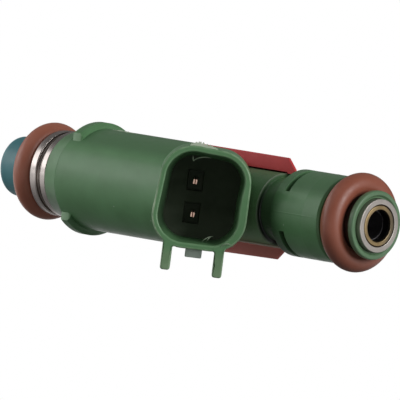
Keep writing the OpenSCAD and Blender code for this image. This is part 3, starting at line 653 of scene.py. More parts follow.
def shadeMouldedBody(c):
    # Each mask says how far the green is mixed to the colour beside it; each is painted light or painted
    # shade
    tree = greenPlastic.node_tree
    along, height = axisPlace(tree, "X"), axisPlace(tree, "Z")
    sleeve = c["sleeveStart"]
    beforeNeck = calc(tree, "LESS_THAN", along, neckStart)
    pastGroove = calc(tree, "GREATER_THAN", along, sleeve)
    neckGap = grooveMask(tree, (neckEnd + sleeve) / 2, 4.1, c["neckRadius"])
    neckFace = grooveMask(tree, neckEnd + 0.12, 0.3, c["neckRadius"] - 0.02)
    sleeveFoot = times(tree, ramp(tree, along, sleeve, sleeve + 2.8, 0.8, 0),
                       calc(tree, "GREATER_THAN", along, sleeve - 0.05))
    neckLight = times(tree, grooveMask(tree, c["neckMiddle"], c["neckWidth"], 6.3), 0.5)
    coneBottom = ramp(tree, along, coneEnd - 0.1, coneEnd, 0.75, 0)
    shades = [
        # painted shade in the clip slots
        (grooveMask(tree, c["slotMiddle"], c["slotWidth"], c["sleeveRadius"] - 0.1), (84, 112, 78)),
        (grooveMask(tree, coneEnd, 0.24, barrelRadius - 0.12), (46, 66, 44)),  # painted shade in the step behind the cone
        # painted shade in the groove between the neck and the sleeve
        (fadeUpwards(tree, neckGap, 1.5, 4.2, 0.2), (64, 88, 62)),
        # painted shade on the neck's end face
        (fadeUpwards(tree, neckFace, 0.0, 3.6, 0.1), (16, 24, 16)),
        (grooveMask(tree, neckEnd - 0.06, 0.1, 9.0), (124, 140, 118)),  # a painted highlight along the neck's end edge
        # painted shade at the sleeve's foot
        (fadeUpwards(tree, sleeveFoot, 1.0, 4.0, 0.0), (40, 62, 40)),
        # painted light on the neck beside the cup
        (fadeUpwards(tree, neckLight, -1.0, 2.5, 0.0), (150, 186, 138)),
        # painted shade on the barrel's top
        (times(tree, ramp(tree, height, 4.5, 5.7), beforeNeck), (82, 120, 83)),
        # painted shade on the sleeve's top
        (times(tree, ramp(tree, height, 2.8, 4.0), pastGroove), (82, 120, 83)),
        # painted shade low on the cone
        (fadeUpwards(tree, coneBottom, -4.6, -0.8, 0.0), (50, 70, 46)),
    ]
    for mask, colour in shades:
        shadeWhere(greenPlastic, mask, colour)


dress(makeMouldedBody(mouldedBody), greenPlastic, "green_plastic", "overmold_body")
shadeMouldedBody(mouldedBody)

flangeSegment = {"start": 16.0, "lowerBack": 0.5, "thickness": 1.8, "radius": 8.45, "width": 10.8,
                 "chamfer": 0.42, "edge": 0.1}
lugEnd = 0.04 - flangeSegment["width"] / 2
# Painted light: the lugs' end faces on the near side are lightened
shadeWhere(lugPlastic, axisRamp(lugPlastic.node_tree, "Y", lugEnd, lugEnd + 0.08, 0.7, 0), (140, 176, 138))


def makeFlangeSegment(name, side, c):
    # An outline with two flat ends and a round top, stacked through the flange's thickness; its inset
    # grows over the last part, which gives the edge its chamfer
    low = sqrt(barrelRadius ** 2 - (c["width"] / 2) ** 2) - 0.3
    start = c["start"] - (c["lowerBack"] if side < 0 else 0)
    edge, end, chamfer = c["edge"], c["thickness"], c["chamfer"]
    rows = []
    for depth, inset in ((0, edge), (edge, 0), (end - chamfer, 0), (end, chamfer)):
        half, radius = c["width"] / 2 - inset * 0.4, c["radius"] - inset
        reach = asin(half / radius)
        turn = np.linspace(-reach, reach, 61)
        arc = pointRows(radius * np.sin(turn), radius * np.cos(turn))
        foot = pointRows(half * np.linspace(1, -1, 24), low)
        outline = np.concatenate([arc, foot])
        rows.append(pointRows(start + depth, outline[:, 0], side * outline[:, 1]))
    return loftGrid(name, np.array(rows), 30)


for flangeName, flangeSide in (("flange_segment_upper", 1), ("flange_segment_lower", -1)):
    dress(makeFlangeSegment(flangeName, flangeSide, flangeSegment), lugPlastic, "green_plastic")
print("moulded body made")


def shroudOutline(c, inset):
    # Four arcs joined by straight sides that lean outwards towards the bottom, drawn in by the inset
    radius, z = c["corner"] - inset, c["height"] / 2 - c["corner"]
    low, quarter = c["lowerSide"] - z, pi / 2

    def sideArcs(lean, drawn, raised):
        arcs = []
        for up, first, last in ((low, -quarter, lean), (z + raised, lean, quarter)):
            across = c["width"] / 2 - drawn - up * tan(lean) - c["corner"] / cos(lean)
            turn = np.linspace(first, last, 21)
            arcs.append(pointRows(across + radius * np.cos(turn), up + radius * np.sin(turn)))
        return arcs

    near = sideArcs(radians(c["lean"]), 0, 0)
    far = sideArcs(radians(c["leanFar"]), c["farSide"], c["farRise"])
    arcs = near + [arc[::-1] * [-1, 1] for arc in far[::-1]]
    share = np.linspace(0, 1, 16)[1:-1, None]
    out = []
    for here, after in zip(arcs, arcs[1:] + arcs[:1]):
        out += [here, here[-1] + share * (after[0] - here[-1])]
    return np.concatenate(out)


def railOutline(c, middle):
    # One rail's contour from its left root to its right root: two fillets, two sides and a rounded tip
    half = c["railThickness"] / 2
    base = shroudOutline(c, 0)
    lower = base[base[:, 1] < c["railTop"]]
    lower = lower[np.argsort(lower[:, 0])]
    drop = -c["railDrop"] - copysign(c["railSkew"], middle)
    across = middle + c["railShift"] + np.array([-half - c["railReach"], -half, half, half + c["railReach"]])
    up = np.interp(across, *lower.T)
    corners = [(across[0], up[0], 0), (across[1], up[1], c["railRoot"]), (across[1], drop, c["railTip"]),
               (across[2], drop, c["railTip"]), (across[2], up[2], c["railRoot"]), (across[3], up[3], 0)]
    return roundedProfile(corners, 6)


def cupContour(c):
    # The shroud's outline with both rails let into its lower side, and for each point the share of the
    # way round the plain outline that it belongs to
    base = shroudOutline(c, 0)
    share = np.arange(len(base)) / len(base)
    start = np.argmin(np.hypot(*(base - [0, c["height"] / 2]).T))
    base, share = np.roll(base, -start, 0), np.roll(share, -start)
    for side in (-1, 1):
        rail = railOutline(c, side * c["railSpacing"] / 2)
        left, right = rail[:, 0].min() - 0.02, rail[:, 0].max() + 0.02
        inside = (base[:, 1] < c["railTop"]) & (base[:, 0] > left) & (base[:, 0] < right)
        first, last = np.flatnonzero(inside)[[0, -1]]
        if base[first, 0] > base[last, 0]:
            rail = rail[::-1]
        run = np.append(0, np.cumsum(np.hypot(*np.diff(rail, axis=0).T)))
        before, after = share[first - 1], share[(last + 1) % len(share)]
        if after < before:
            after += 1
        between = before + (after - before) * (0.1 + 0.8 * run / run[-1])
        base = np.concatenate([base[:first], rail, base[last + 1:]])
        share = np.concatenate([share[:first], between % 1, share[last + 1:]])
    return base, share


def plainAt(c, inset, share):
    # Points of the plain outline at these shares of the way round it
    base = shroudOutline(c, inset)
    closed = np.concatenate([base, base[:1]])
    places = np.arange(len(closed))
    return pointRows(*(np.interp(share * len(base), places, side) for side in closed.T))


def drawnIn(contour, inset):
    # Moves a contour inwards along its own normals
    along = np.roll(contour, -1, 0) - np.roll(contour, 1, 0)
    return contour - unit(pointRows(along[:, 1], -along[:, 0])) * inset * windingSign(contour)


def makeSocketCup(c):
    # Contours one after the other: back edge, outer wall with the rails, round lip, flat rim, inner lip,
    # and the drafted inner wall down to the floor
    contour, share = cupContour(c)
    rim, back, lip, inner, wall = c["reach"], c["back"], c["rimRound"], c["rimInner"], c["wall"]
    quarter = np.linspace(0, pi / 2, 5)
    rows = [(back, plainAt(c, 1.2, share)), (back, plainAt(c, 0.4, share)), (back, drawnIn(contour, 0.12)),
            (back + 0.04, drawnIn(contour, 0.04)), (back + 0.12, contour)]
    rows += [(k, contour) for k in np.linspace(back + 0.3, rim - lip - 0.08, 9)]
    outerLip = slice(len(rows), len(rows) + len(quarter))
    rows += [(rim - lip + lip * sin(t), drawnIn(contour, lip - lip * cos(t))) for t in quarter]
    rows += [(rim, plainAt(c, lip + 0.06, share) * 0.35 + drawnIn(contour, lip + 0.06) * 0.65)]

    innerLip = slice(len(rows) + 1, len(rows) + 1 + len(quarter))
    lipInset = wall + c["draft"] * inner / c["depth"] - inner
    innerRows = [(rim, plainAt(c, wall - inner - 0.05, share))]
    innerRows += [(rim - inner + inner * cos(t), plainAt(c, lipInset + inner * sin(t), share))
                  for t in quarter]
    for k in np.linspace(rim - inner - 0.08, back + 0.15, 14):
        down = (rim - k) / c["depth"]
        innerRows.append((k, plainAt(c, wall + c["draft"] * down, share) + np.array(c["floorShift"]) * down))
    # The wall on the inlet's side is thicker low down
    for k, outline in innerRows:
        extra = smoothStep(outline[:, 0], *c["thickAcross"]) * smoothStep(-outline[:, 1], *c["thickUp"])
        rows.append((k, outline - pointRows(c["inletWall"] * extra, 0)))
    cup = loftGrid("socket_shroud", np.array([socketPlace(k, *outline.T) for k, outline in rows]))

    # How pale each point of the two lips is, a pale flash line with a painted highlight, and how far down the
    # far inner wall a point lies, for painted shade
    across, up = np.moveaxis(np.array([outline for _, outline in rows]), -1, 0)
    flashAndSheen = np.zeros(across.shape)
    lowFar = smoothStep(-across, *c["flashAndSheenAcross"]) * smoothStep(-up, *c["flashAndSheenUp"])
    flashAndSheen[outerLip] = c["flashAndSheenOuter"] + c["flashAndSheenLow"] * lowFar[outerLip]
    flashAndSheen[innerLip] = c["flashAndSheenInner"]
    deep = smoothStep(-across, *c["deepAcross"]) * np.linspace(0, 1, len(rows))[:, None] ** 0.6
    deep[:innerLip.stop - 2] = 0
    for key, values in (("lip", flashAndSheen), ("deep", deep)):
        made = cup.data.attributes.new(key, "FLOAT", "POINT")
        made.data.foreach_set("value", np.append(values, [0, 0]))
    return cup


def shadeSocket(strength):
    # Painted light and shade: lighter lips (a pale flash line with a painted highlight) times slow noise,
    # painted shade on the deep wall, and painted light on the rails low down
    tree = socketPlastic.node_tree
    lip, deep = (addNode(tree, "Attribute", attribute_name=key).outputs["Fac"] for key in ("lip", "deep"))
    patchy = ramp(tree, noise(tree, objectPoints(tree), 0.7, 3, 0.6), 0.35, 0.6, 0.25, 1)
    shadeWhere(socketPlastic, times(tree, times(tree, lip, patchy), strength), (176, 200, 166))
    shadeWhere(socketPlastic, times(tree, deep, axisRamp(tree, "Z", -5.4, -4.0, 0.45, 1)), (44, 68, 44))
    shadeWhere(socketPlastic, axisRamp(tree, "Z", -8.2, -6.8, 0.5, 0), (128, 150, 118))


dress(makeSocketCup(socket), socketPlastic, "green_plastic")
shadeSocket(socket["flashAndSheenStrength"])


def makeSocketFloor(c):
    # A flat grid with a square well round each pin, its edge row pulled out to the shroud's outline:
    # level = floor - well depth * (inside across) * (inside up)
    halfWidth, halfHeight, pitch = c["wellWidth"] / 2, c["wellHeight"] / 2, c["pinPitch"] / 2
    edge = c["wellEdge"]
    lines = []
    for half, middles in ((halfWidth, [c["pinShift"]]), (halfHeight, [-pitch, pitch])):
        edges = np.add.outer(middles, np.add.outer([-half, half], [-0.05, -0.02, 0.02, 0.05])).ravel()
        lines.append(np.unique(np.round(np.append(np.linspace(-4.55, 4.55, 27), edges), 4)))
    w, z = np.meshgrid(*lines, indexing="ij")
    inAcross = 1 - smoothStep(np.abs(w - c["pinShift"]), halfWidth - edge, halfWidth + edge)
    inUp = 1 - smoothStep(np.abs(np.abs(z) - pitch), halfHeight - edge, halfHeight + edge)
    top = socketPlace(floorAt - c["wellDepth"] * inAcross * inUp, w, z)
    index = np.arange(w.size).reshape(w.shape)
    ring = np.concatenate([index[:, 0], index[-1, 1:], index[-2::-1, -1], index[0, -2:0:-1]])
    turn = np.arctan2(z.ravel()[ring], w.ravel()[ring])
    across, up = shroudOutline(c, 1.2).T
    reach = np.interp(turn, np.arctan2(up, across), np.hypot(across, up), period=2 * pi)
    skirt = [socketPlace(k, reach * np.cos(turn), reach * np.sin(turn)) for k in (floorAt, c["back"] + 0.35)]
    corners = np.concatenate([top.reshape(-1, 3), *skirt, [skirt[1].mean(0)]])
    count = len(ring)
    rings = [ring.tolist(), *(list(range(first, first + count)) for first in (w.size, w.size + count))]
    faces = gridFaces(*w.shape, False, False)
    for upper, lower in zip(rings, rings[1:]):
        faces += [list(quad) for quad in zip(upper, upper[1:] + upper[:1], lower[1:] + lower[:1], lower)]
    faces += capFaces(rings[2], len(corners) - 1)
    return putPiece("socket_floor", corners, faces, 30)


dress(makeSocketFloor(socket), innerPlastic, "green_plastic")
# Painted light and shade on the floor: lighter low down, and painted shade where the distance along the
# socket's line is less than at the wells' edge, in the wells
floorTree = innerPlastic.node_tree
wellLevel = float(socketPlace(floorAt, 0, 0) @ socketAlong)
wellShadeMask = ramp(floorTree, lineDistance(floorTree, socketAlong), wellLevel - 0.45, wellLevel - 0.02, 1, 0)
shadeWhere(innerPlastic, axisRamp(floorTree, "Z", -4.8, -1.0, 0.8, 0), (96, 104, 90))
shadeWhere(innerPlastic, wellShadeMask, (58, 66, 53))


def roundedSquare(half, radius, steps, support=0.06):
    corners = [(x * half, y * half, radius) for x, y in ((-1, -1), (1, -1), (1, 1), (-1, 1))]
    return roundedProfile(corners, steps, support)


def makeStem(c):
    # Rounded square sections along the socket's line, kept in front of the barrel's end and of the saddle
    outline = roundedSquare(c["stemWidth"] / 2, c["stemCorner"], 10)
    stations = np.append(np.linspace(c["stemStart"], c["back"], 30), c["back"] + 0.2)
    grid = socketPlace(stations[:, None], *outline.T)
    grid[..., 1] = np.minimum(grid[..., 1], -c["stemClearance"])
    grid[..., 0] = np.maximum(grid[..., 0], neckStart - 1.0)
    return loftGrid("socket_stem", grid)


dress(makeStem(socket), greenPlastic, "green_plastic")

flash = {"thickness": 0.07, "rimSpan": (-2.35, 1.75), "rimLeast": 0.1875, "rimHeight": 1.25,
         "rimLast": 0.4, "rimCount": 46,
         "barrelSpan": (19.2, 24.0), "barrelSide": -0.6, "barrelHeight": 0.2, "saddleSpan": (44.0, 57.0),
         "saddleLow": -5.5, "count": 40, "seed": 4}


def raggedHeights(count, low, high, seed):
    # Seeded steps smoothed once, between two heights, falling to nothing at both ends
    steps = np.random.default_rng(seed).uniform(0, 1, count)
    smooth = np.convolve(steps, [0.2, 0.6, 0.2], "same")
    fade = np.sin(np.linspace(0, pi, count)) ** 0.45
    return (low + (high - low) * smooth) * fade


def makeFlash(name, feet, outward, through, heights):
    # A thin sheet that stands on a line of feet and ends in a ragged edge, about a third as thick
    foot, tip, lean = feet - outward * 0.1, feet + outward * heights[:, None], through * 0.35
    grid = np.stack([foot - through / 2, tip - lean / 2, tip + lean / 2, foot + through / 2], 1)
    return loftGrid(name, grid, 50)


def makeRimFlash(c):
    # It stands on the socket's upper side, which rises towards the far end, and gets lower that way
    across = np.linspace(*c["rimSpan"], c["rimCount"])
    up = socket["height"] / 2 + socket["farRise"] * (0.5 - across / 12)
    heights = raggedHeights(c["rimCount"], c["rimLeast"], c["rimHeight"], c["seed"])
    heights = heights * np.linspace(1.0, c["rimLast"], c["rimCount"])
    feet = socketPlace(socket["reach"] - 0.5, across, up)
    return makeFlash("rim_flash_upper", feet, upright, socketAlong * c["thickness"], heights)


def makeBarrelFlash(c):
    # It stands along the barrel's top: height = sqrt(radius^2 - side^2)
    side = c["barrelSide"]
    feet = pointRows(np.linspace(*c["barrelSpan"], c["count"]), side, sqrt(barrelRadius ** 2 - side ** 2))
    heights = raggedHeights(c["count"], 0, c["barrelHeight"], c["seed"] + 1)
    return makeFlash("barrel_flash_upper", feet, upright, np.array([0, c["thickness"], 0]), heights)


dress(makeRimFlash(flash), flashPlastic, "green_plastic")
dress(makeBarrelFlash(flash), flashPlastic, "green_plastic")

latch = {"width": 2.44, "height": 1.28, "length": 3.0, "behindRim": 1.0, "crest": 2.1, "root": 0.5,
         "edge": 0.12}


def makeLatchRamp(c):
    # The ramp's side view, with rounded corners, stacked across its width
    rim, low = socket["reach"] - c["behindRim"], socket["lowerSide"] - socket["height"] / 2
    back, bottom, root = rim - c["length"], low - c["height"], low + c["root"]
    corners = [(back, root, 0), (back, bottom, c["edge"]), (back + c["crest"], bottom, 0.3),
               (rim, low - 0.05, 0.1), (rim, root, 0)]
    rows = []
    for across, inset in ((-0.5, 0.1), (-0.46, 0.02), (-0.42, 0), (0.42, 0), (0.46, 0.02), (0.5, 0.1)):
        outline = roundedProfile(insetCorners(corners, inset), 4)
        rows.append(socketPlace(outline[:, 0], across * c["width"], outline[:, 1]))
    return loftGrid("latch_ramp", np.array(rows), 30)


dress(makeLatchRamp(latch), latchPaintedLightPlastic, "green_plastic")

pins = {"width": 0.64, "height": 0.8, "round": 0.12, "length": 5.0, "tipTaper": 0.25, "run": -5.4,
        "riser": 33.0, "leadSide": 1.4, "leadDepth": -4.6, "coilEnd": 30.15, "seam": 0.12,
        "scales": (0.8256, 0.86, 1, 1, 1, 0.85, 0.8, 0.8)}


def makePin(name, side, c):
    # Blade from its tapered tip back along the socket, then beside the neck and down to the coil
    z, lead, tip = side * socket["pinPitch"] / 2, side * c["leadSide"], floorAt + c["length"]
    turnAt = -c["run"] / cos(socketTurn) + socket["pinShift"] * tan(socketTurn)
    along = np.array([tip, tip - 0.02, tip - c["tipTaper"], tip - c["tipTaper"] - 0.05, turnAt])
    blade = socketPlace(along, socket["pinShift"] - (side - 1) * socket["pinSkew"], z)
    rest = [[c["riser"], c["run"], z + socket["rise"]], [c["riser"], c["leadDepth"], lead],
            [c["coilEnd"], c["leadDepth"], lead]]
    outline = roundedSquare(0.5, c["round"], 3, 0.02) * [c["width"], c["height"]]
    sections = outline * np.array(c["scales"])[:, None, None]
    return sweepSection(name, np.concatenate([blade, rest]), (0.0, 0.12, 1.0), sections, 30)


def seamMask(tree, c):
    # One along the middle of each blade: |across - the blade's own middle| < half the seam, on both pins
    below = calc(tree, "LESS_THAN", axisPlace(tree, "Z"), socket["rise"])
    upperMiddle = socket["axisPoint"] * cos(socketTurn) + socket["pinShift"]
    middle = calc(tree, "ADD", times(tree, below, 2 * socket["pinSkew"]), upperMiddle)
    off = calc(tree, "ABSOLUTE", calc(tree, "SUBTRACT", lineDistance(tree, socketAcross), middle))
    return ramp(tree, off, c["seam"] / 2, c["seam"], 1, 0)


shadeWhere(copperFinish, seamMask(copperFinish.node_tree, pins), (92, 58, 46))
for pinName, pinSide, pinNode in (("pin_upper", 1, "terminal_upper"), ("pin_lower", -1, "terminal_lower")):
    dress(makePin(pinName, pinSide, pins), copperFinish, "copper", pinNode)


def makeBurr(name, along, places, radius):
    # A short curl of plastic: a thin tapered tube on the cubic curve of four points of the socket's frame
    count = 14
    run = np.linspace(0, 1, count)
    weights = pointRows((1 - run) ** 3, 3 * run * (1 - run) ** 2, 3 * run ** 2 * (1 - run), run ** 3)
    path = socketPlace(along + 0.15 * np.sin(5 * run), *(weights @ np.array(places)).T)
    turn = evenAngles(8)
    taper = radius * np.sin(np.linspace(0.25, 2.9, count))[:, None, None]
    return sweepSection(name, path, socketAlong, pointRows(np.cos(turn), np.sin(turn)) * taper, 60)


# Distance along the socket, four points of across and up, radius
burrs = {
    "burr_upper": (floorAt + 6.0, [(-1.65, 5.4), (-1.1, 6.1), (0.0, 6.25), (0.9, 6.1)], 0.1),
    "burr_upper_curl": (floorAt + 6.5, [(-1.8, 6.3), (-1.75, 5.9), (-1.7, 5.6), (-1.6, 5.4)], 0.07),
    "burr_lower": (floorAt + 5.5, [(1.0, -6.1), (1.6, -5.5), (2.0, -5.25), (2.6, -5.2)], 0.085),
    "burr_lower_curl": (floorAt + 5.7, [(1.7, -6.05), (1.85, -5.55), (2.1, -5.4), (2.25, -5.35)], 0.065),
    "gate_mark": (socket["reach"], [(3.9, -6.5), (4.2, -5.7), (5.1, -5.6), (5.6, -6.2)], 0.15),
}
for burrName, burrFacts in burrs.items():
    burrFinish = gatePlastic if burrName == "gate_mark" else flashPlastic
    dress(makeBurr(burrName, *burrFacts), burrFinish, "green_plastic")
print("socket made")

saddle = {"innerRadius": 5.55, "wall": 0.8, "plate": 1.0, "top": 7.6, "low": 7.7, "lowEnd": 7.3,
          "chamfer": 1.6, "lipRadius": 5.35, "lipGap": 0.1, "edge": 0.14, "endEdge": 0.38,
          "thinning": 0.7, "around": 40, "gap": 0.05}


def saddleTip(c, height, inner, lift, front, back, slope):
    # One plate from its foot round two corners to its root; the outer corner turns from round to straight
    # along the slope: arc * (1 - slope) + line * slope
    gap = c["gap"]
    r = min(c["edge"], 0.4 * (height - inner), 0.4 * (back - front))
    away = r + slope * max(back - c["endEdge"] - r, 0)
    a = np.linspace(0, pi / 2, 5)
    nearArc = pointRows(front + r - r * np.cos(a), height - r + r * np.sin(a))
    farArc = pointRows(np.sin(a), np.cos(a)) * (1 - slope) + pointRows(a, pi / 2 - a) * 2 / pi * slope
    foot = [[front, inner + 0.001], [front, inner + gap]]
    root = [[back, min(max(lift + gap, inner + 0.3), height - away - 0.03)]]
    return np.concatenate([foot, nearArc, farArc * away + [back - away, height - away], root])


def saddleSection(c, x, inset, end):
    # A C-shaped section with a plate at each tip; past the neck its bore steps in to the lip, and its plates
    # slope down by the chamfer
    gap = c["gap"]
    inner = (c["innerRadius"] if x < neckEnd + c["lipGap"] else c["lipRadius"]) + inset
    cut = max(x - neckEnd, 0) + inset
    low = np.interp(x, [neckStart, neckEnd], [c["low"], c["lowEnd"]]) - cut
    top = c["top"] - cut
    slope = float(smoothStep(x, neckEnd - 0.7, neckEnd))
    outer = min(c["innerRadius"] + c["wall"] * (1 - c["thinning"] * slope) - inset, top - gap, low - gap)
    front, back = inset * 0.5, min(c["plate"] - inset, c["endEdge"] + end - x)
    first = asin(back / outer)
    turn = np.linspace(first, pi - first, c["around"])
    shell = pointRows(outer * np.sin(turn), outer * np.cos(turn))
    lift = sqrt(outer ** 2 - back ** 2)
    upper, lower = (saddleTip(c, height, inner, lift, front, back, slope) for height in (top, low))
    outside = np.concatenate([upper, shell, lower[::-1] * [1, -1]])
    first = asin(front / inner)
    run = np.linspace(pi - first, first, len(outside))
    ring = np.concatenate([outside, pointRows(inner * np.sin(run), inner * np.cos(run))])
    return pointRows(x, ring[:, 0], ring[:, 1])


def makeSaddle(c):
    # Sections one after the other along the axis; both ends are closed between outside and inside
    edge, end, lip = c["edge"], neckEnd + c["chamfer"], neckEnd + c["lipGap"]
    turn = np.linspace(0, pi / 2, 5)
    stations = [(neckStart + edge * (1 - cos(a)), edge * (1 - sin(a))) for a in turn]
    slopes = (neckEnd, lip - 0.02, lip + 0.02, (neckEnd + end) / 2, end - 0.5, end - edge - 0.05)
    stations += [(x, 0) for x in (*np.linspace(neckStart + 0.3, neckEnd - 0.1, 30), *slopes)]
    stations += [(end - edge + edge * sin(a), edge * (1 - cos(a))) for a in turn]
    grid = np.array([saddleSection(c, x, inset, end) for x, inset in stations])
    rows, columns = grid.shape[:2]
    faces = gridFaces(rows, columns, False, True)
    i = np.arange(columns // 2 - 1)
    ends = np.stack([i, i + 1, columns - 2 - i, columns - 1 - i], 1)
    faces += ends[:, ::-1].tolist() + (ends + (rows - 1) * columns).tolist()
    return putPiece("rear_saddle_shell", grid.reshape(-1, 3), faces, 35)


def makeSaddleFlash(c):
    feet = pointRows(np.linspace(*c["saddleSpan"], c["count"]), 0.02, c["saddleLow"])
    heights = raggedHeights(c["count"], 0.06, 0.3, c["seed"] + 2)
    return makeFlash("saddle_flash_lower", feet, np.array([0, -1.0, 0]), np.array([0, 0, 0.5]), heights)


dress(makeSaddle(saddle), redPlastic, "red_plastic", "rear_saddle")
# Painted light: the saddle's lower plate is lightened
shadeWhere(redPlastic, axisRamp(redPlastic.node_tree, "Z", -5.4, -4.8, 0.95, 0), (252, 150, 144))
dress(makeSaddleFlash(flash), paleFlash, "red_plastic")

inletEnd = {"innerRadius": 3.1, "filterDepth": 15.0, "poleBack": 0.01, "coreRadius": 2.0, "poleRadius": 3.43,
            "stepAt": 26.1, "edge": 0.1, "collarBack": 0.28, "collarEdge": 0.45, "collarDish": 0.3,
            "collarFlat": 0.62, "brassForward": 0.22, "brassBore": 2.34, "brassOuter": 2.98,
            "brassRoll": 0.16, "liningWall": 0.1, "liningBack": 5.0, "liningEnd": 0.12}


def makeInletTube(c):
    # The tube's wall from its mouth to the pole face
    pole, step, deep = tubeStart + c["poleBack"], c["stepAt"], tubeEnd - c["filterDepth"]
    inner, edge = c["innerRadius"], c["edge"]
    corners = [(pole, c["coreRadius"], 0.03), (pole, c["poleRadius"], 0.03), (step, c["poleRadius"], 0.03),
               (step, tubeRadius, 0.05), (tubeEnd, tubeRadius, edge), (tubeEnd, inner, edge),
               (deep, inner, 0.05), (deep, c["coreRadius"], 0.05)]
    return turnPiece("inlet_tube_turned", corners, 5, 160)


def makeBrassRing(c):
    # A short tube with a rolled mouth, pressed in a little below the end of the fuel tube
    end, bore, roll = brassEnd + c["brassForward"], c["brassBore"], c["brassRoll"]
    corners = [(brassStart, bore, 0.05), (brassStart, brassRadius, 0.05), (end - 0.45, brassRadius, 0.1),
               (end, c["brassOuter"], roll), (end, bore, roll), (end - 0.6, bore, 0.1)]
    return turnPiece("filter_ring_brass", corners, 6, 128)


def makeLining(c):
    # The black sleeve of the filter, just inside the brass ring; its near black is partly painted shade for
    # the deep bore
    outer, inner, end = c["brassBore"] - 0.005, c["brassBore"] - c["liningWall"], brassEnd - c["liningEnd"]
    back = end - c["liningBack"]
    corners = [(back, inner, 0.02), (back, outer, 0.02), (end, outer, 0.02), (end, inner, 0.05)]
    return turnPiece("filter_lining_moulded", corners, 4, 112, 0.02)


def makeSealCollar(c):
    # A ring with a round edge and a face dished towards its bore
    end, dish = collarEnd - c["collarBack"], collarEnd - c["collarBack"] - c["collarDish"]
    corners = [(collarStart, mouldBore, 0.05), (collarStart, collarRadius, 0.15),
               (end, collarRadius, c["collarEdge"]), (end - 0.02, collarRadius - c["collarFlat"], 0.15),
               (dish, mouldBore + 0.2, 0.1), (dish, mouldBore + 0.02, 0.05)]
    return turnPiece("seal_collar_moulded", corners, 7, 160)


spring = {"wire": 0.45, "turns": 8, "stepsPerTurn": 40, "sides": 12}


def makeSpring(c):
    # The wire's centre line climbs steadily round the axis
    count, half = c["turns"] * c["stepsPerTurn"] + 1, c["wire"] / 2
    turn, coil = np.linspace(0, 2 * pi * c["turns"], count), springRadius - half
    along = np.linspace(springLow + half, springHigh - half, count)
    path = pointRows(along, coil * np.cos(turn), coil * np.sin(turn))
    around = evenAngles(c["sides"])
    ring = pointRows(np.cos(around), np.sin(around)) * half
    return sweepSection("return_spring_coil", path, (1.0, 0, 0), np.tile(ring, (count, 1, 1)), 60)


dress(makeInletTube(inletEnd), tubeFinish, "turned_steel", "inlet_tube")
# The spring, a steady coil between its ends in place of the CAD spring
springPiece = makeSpring(spring)
springPiece.data.materials.append(magneticFinish)
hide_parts("return_spring")
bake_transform(springPiece)
dress(makeBrassRing(inletEnd), brassFinish, "brass", "filter_ring")
# Painted shade: the brass darkens towards plus Y
shadeWhere(brassFinish, axisRamp(brassFinish.node_tree, "Y", 0.6, 2.4, 0, 0.8), (92, 86, 74))
dress(makeLining(inletEnd), liningPlastic, "black_plastic")
dress(makeSealCollar(inletEnd), collarPlastic, "green_collar", "oring_collar")
print("inlet end made")

camera = {"fromObject": (0.707, -0.706, 0.043), "tilt": 7.05, "distance": 1.6, "viewWidth": 0.0588,
          "target": (38.57, 0.04, -0.59), "sensor": 36.0, "clip": (0.05, 60.0)}


def placeFacing(made, side, up, back, place):
    # The object looks along minus back, with the side to its right, and joins the scene
    matrix = np.eye(4)
    matrix[:3] = np.stack([side, up, back, place], 1)
    made.matrix_world = Matrix(matrix)
    bpy.context.scene.collection.objects.link(made)


def makeCamera(c):
    # It stands off along one direction, turned about it by the tilt, as wide as the view at the target
    back = unit(np.array(c["fromObject"]))
    flat = unit(np.cross(upright, back))
    tilt = radians(c["tilt"])
    right = flat * cos(tilt) + np.cross(back, flat) * sin(tilt)
    data = bpy.data.cameras.new("camera")
    data.sensor_width = c["sensor"]
    data.lens = c["sensor"] * c["distance"] / c["viewWidth"]
    data.clip_start, data.clip_end = c["clip"]
    made = bpy.data.objects.new("camera", data)
    placeFacing(made, right, np.cross(back, right), back, np.array(c["target"]) * mm + back * c["distance"])
    bpy.context.scene.camera = made


makeCamera(camera)

stage = {"below": 0.052, "size": 30.0, "fadeStart": 0.07, "fadeEnd": 0.22, "lift": 0.12,
         "mirrorStart": 0.08, "mirrorEnd": 0.2, "mirrorLeast": 0.08,
         "paperColour": (0.92, 0.92, 0.92, 1), "bounceColour": (0.20, 0.20, 0.20, 1), "worldLevel": 0.2}
white = (1, 1, 1, 1)


def straightRays(tree):
    # One for rays that come from the camera, also through glass
    rays = addNode(tree, "LightPath").outputs
    return calc(tree, "MAXIMUM", rays["Is Camera Ray"], rays["Is Transmission Ray"])


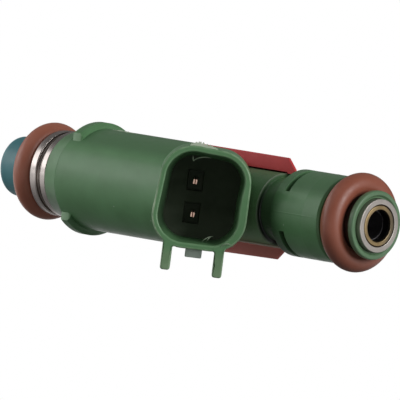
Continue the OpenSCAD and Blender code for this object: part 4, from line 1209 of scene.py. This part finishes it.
def makeFloor(c):
    # A plain pale floor that shades as paper near the object, and is white to the camera farther out
    low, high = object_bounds()
    size, level = c["size"], low.z - c["below"]
    mesh = bpy.data.meshes.new("floor")
    corners = [(-size, -size, level), (size, -size, level), (size, size, level), (-size, size, level)]
    mesh.from_pydata(corners, [], [(0, 1, 2, 3)])
    floor = bpy.data.objects.new("floor", mesh)
    bpy.context.scene.collection.objects.link(floor)
    made, tree, shader = newMaterial("paleFloor")
    shader.inputs["Roughness"].default_value = 0.9
    shader.inputs["Specular IOR Level"].default_value = 0.1
    place = addNode(tree, "TexCoord").outputs["Object"]
    middle = tuple((low + high) / 2)
    off = addNode(tree, "VectorMath", {0: place, 1: middle}, operation="SUBTRACT").outputs[0]
    flat = addNode(tree, "VectorMath", {0: off, 1: (1, 1, 0)}, operation="MULTIPLY").outputs[0]
    away = addNode(tree, "VectorMath", {0: flat}, operation="LENGTH").outputs["Value"]
    seen = straightRays(tree)
    tree.links.new(mixColour(tree, seen, c["bounceColour"], c["paperColour"]), shader.inputs["Base Color"])
    glow = addNode(tree, "Emission", {"Color": white, "Strength": 1.0}).outputs[0]
    lift = addNode(tree, "Emission", {"Color": white, "Strength": times(tree, seen, c["lift"])}).outputs[0]
    paper = addNode(tree, "AddShader", {0: shader.outputs[0], 1: lift}).outputs[0]
    mirrored = times(tree, ramp(tree, away, c["mirrorStart"], c["mirrorEnd"], c["mirrorLeast"], 1),
                     addNode(tree, "LightPath").outputs["Is Glossy Ray"])
    share = times(tree, ramp(tree, away, c["fadeStart"], c["fadeEnd"]), seen)
    share = calc(tree, "MAXIMUM", share, mirrored)
    mixed = addNode(tree, "MixShader", {0: share, 1: paper, 2: glow}).outputs[0]
    tree.links.new(mixed, tree.nodes["Material Output"].inputs["Surface"])
    mesh.materials.append(made)
    floor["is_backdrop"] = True


makeFloor(stage)


def makeWorld(level):
    # White to the camera and in reflections, and a plain grey level as light
    world = bpy.data.worlds.new("studio")
    bpy.context.scene.world = world
    world.use_nodes = True
    tree = world.node_tree
    shader = tree.nodes["Background"]
    shader.inputs["Color"].default_value = white
    tree.links.new(ramp(tree, straightRays(tree), 0, 1, level, 1.0), shader.inputs["Strength"])


makeWorld(stage["worldLevel"])

# Azimuth, elevation, width, height, power
lamps = {
    "lamp_key": (-46, 20, 0.50, 0.30, 0.8),
    "lamp_keyLow": (-46, 6, 0.50, 0.30, 0.44),
    "lamp_keySide": (-75, 20, 0.40, 0.35, 0.5),
    "lamp_high": (0, 55, 0.35, 0.30, 0.2),
    "lamp_right": (98, 19, 0.30, 0.30, 2.3),
}
lampDistance = 0.6


def makeLamp(name, azimuth, elevation, width, height, power):
    # A soft panel at an angle round the object, facing it
    low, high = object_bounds()
    a, e = radians(azimuth), radians(elevation)
    back = np.array([sin(a) * cos(e), -cos(a) * cos(e), sin(e)])
    data = bpy.data.lights.new(name, "AREA")
    data.shape = "RECTANGLE"
    data.size, data.size_y, data.energy = width, height, power
    lamp = bpy.data.objects.new(name, data)
    lamp.visible_camera = False
    side = unit(np.cross(upright, back))
    placeFacing(lamp, side, np.cross(back, side), back, np.array((low + high) / 2) + back * lampDistance)


for lampName, lampFacts in lamps.items():
    makeLamp(lampName, *lampFacts)

bpy.context.scene.view_settings.view_transform = "Standard"
print("stage, camera and lamps made")
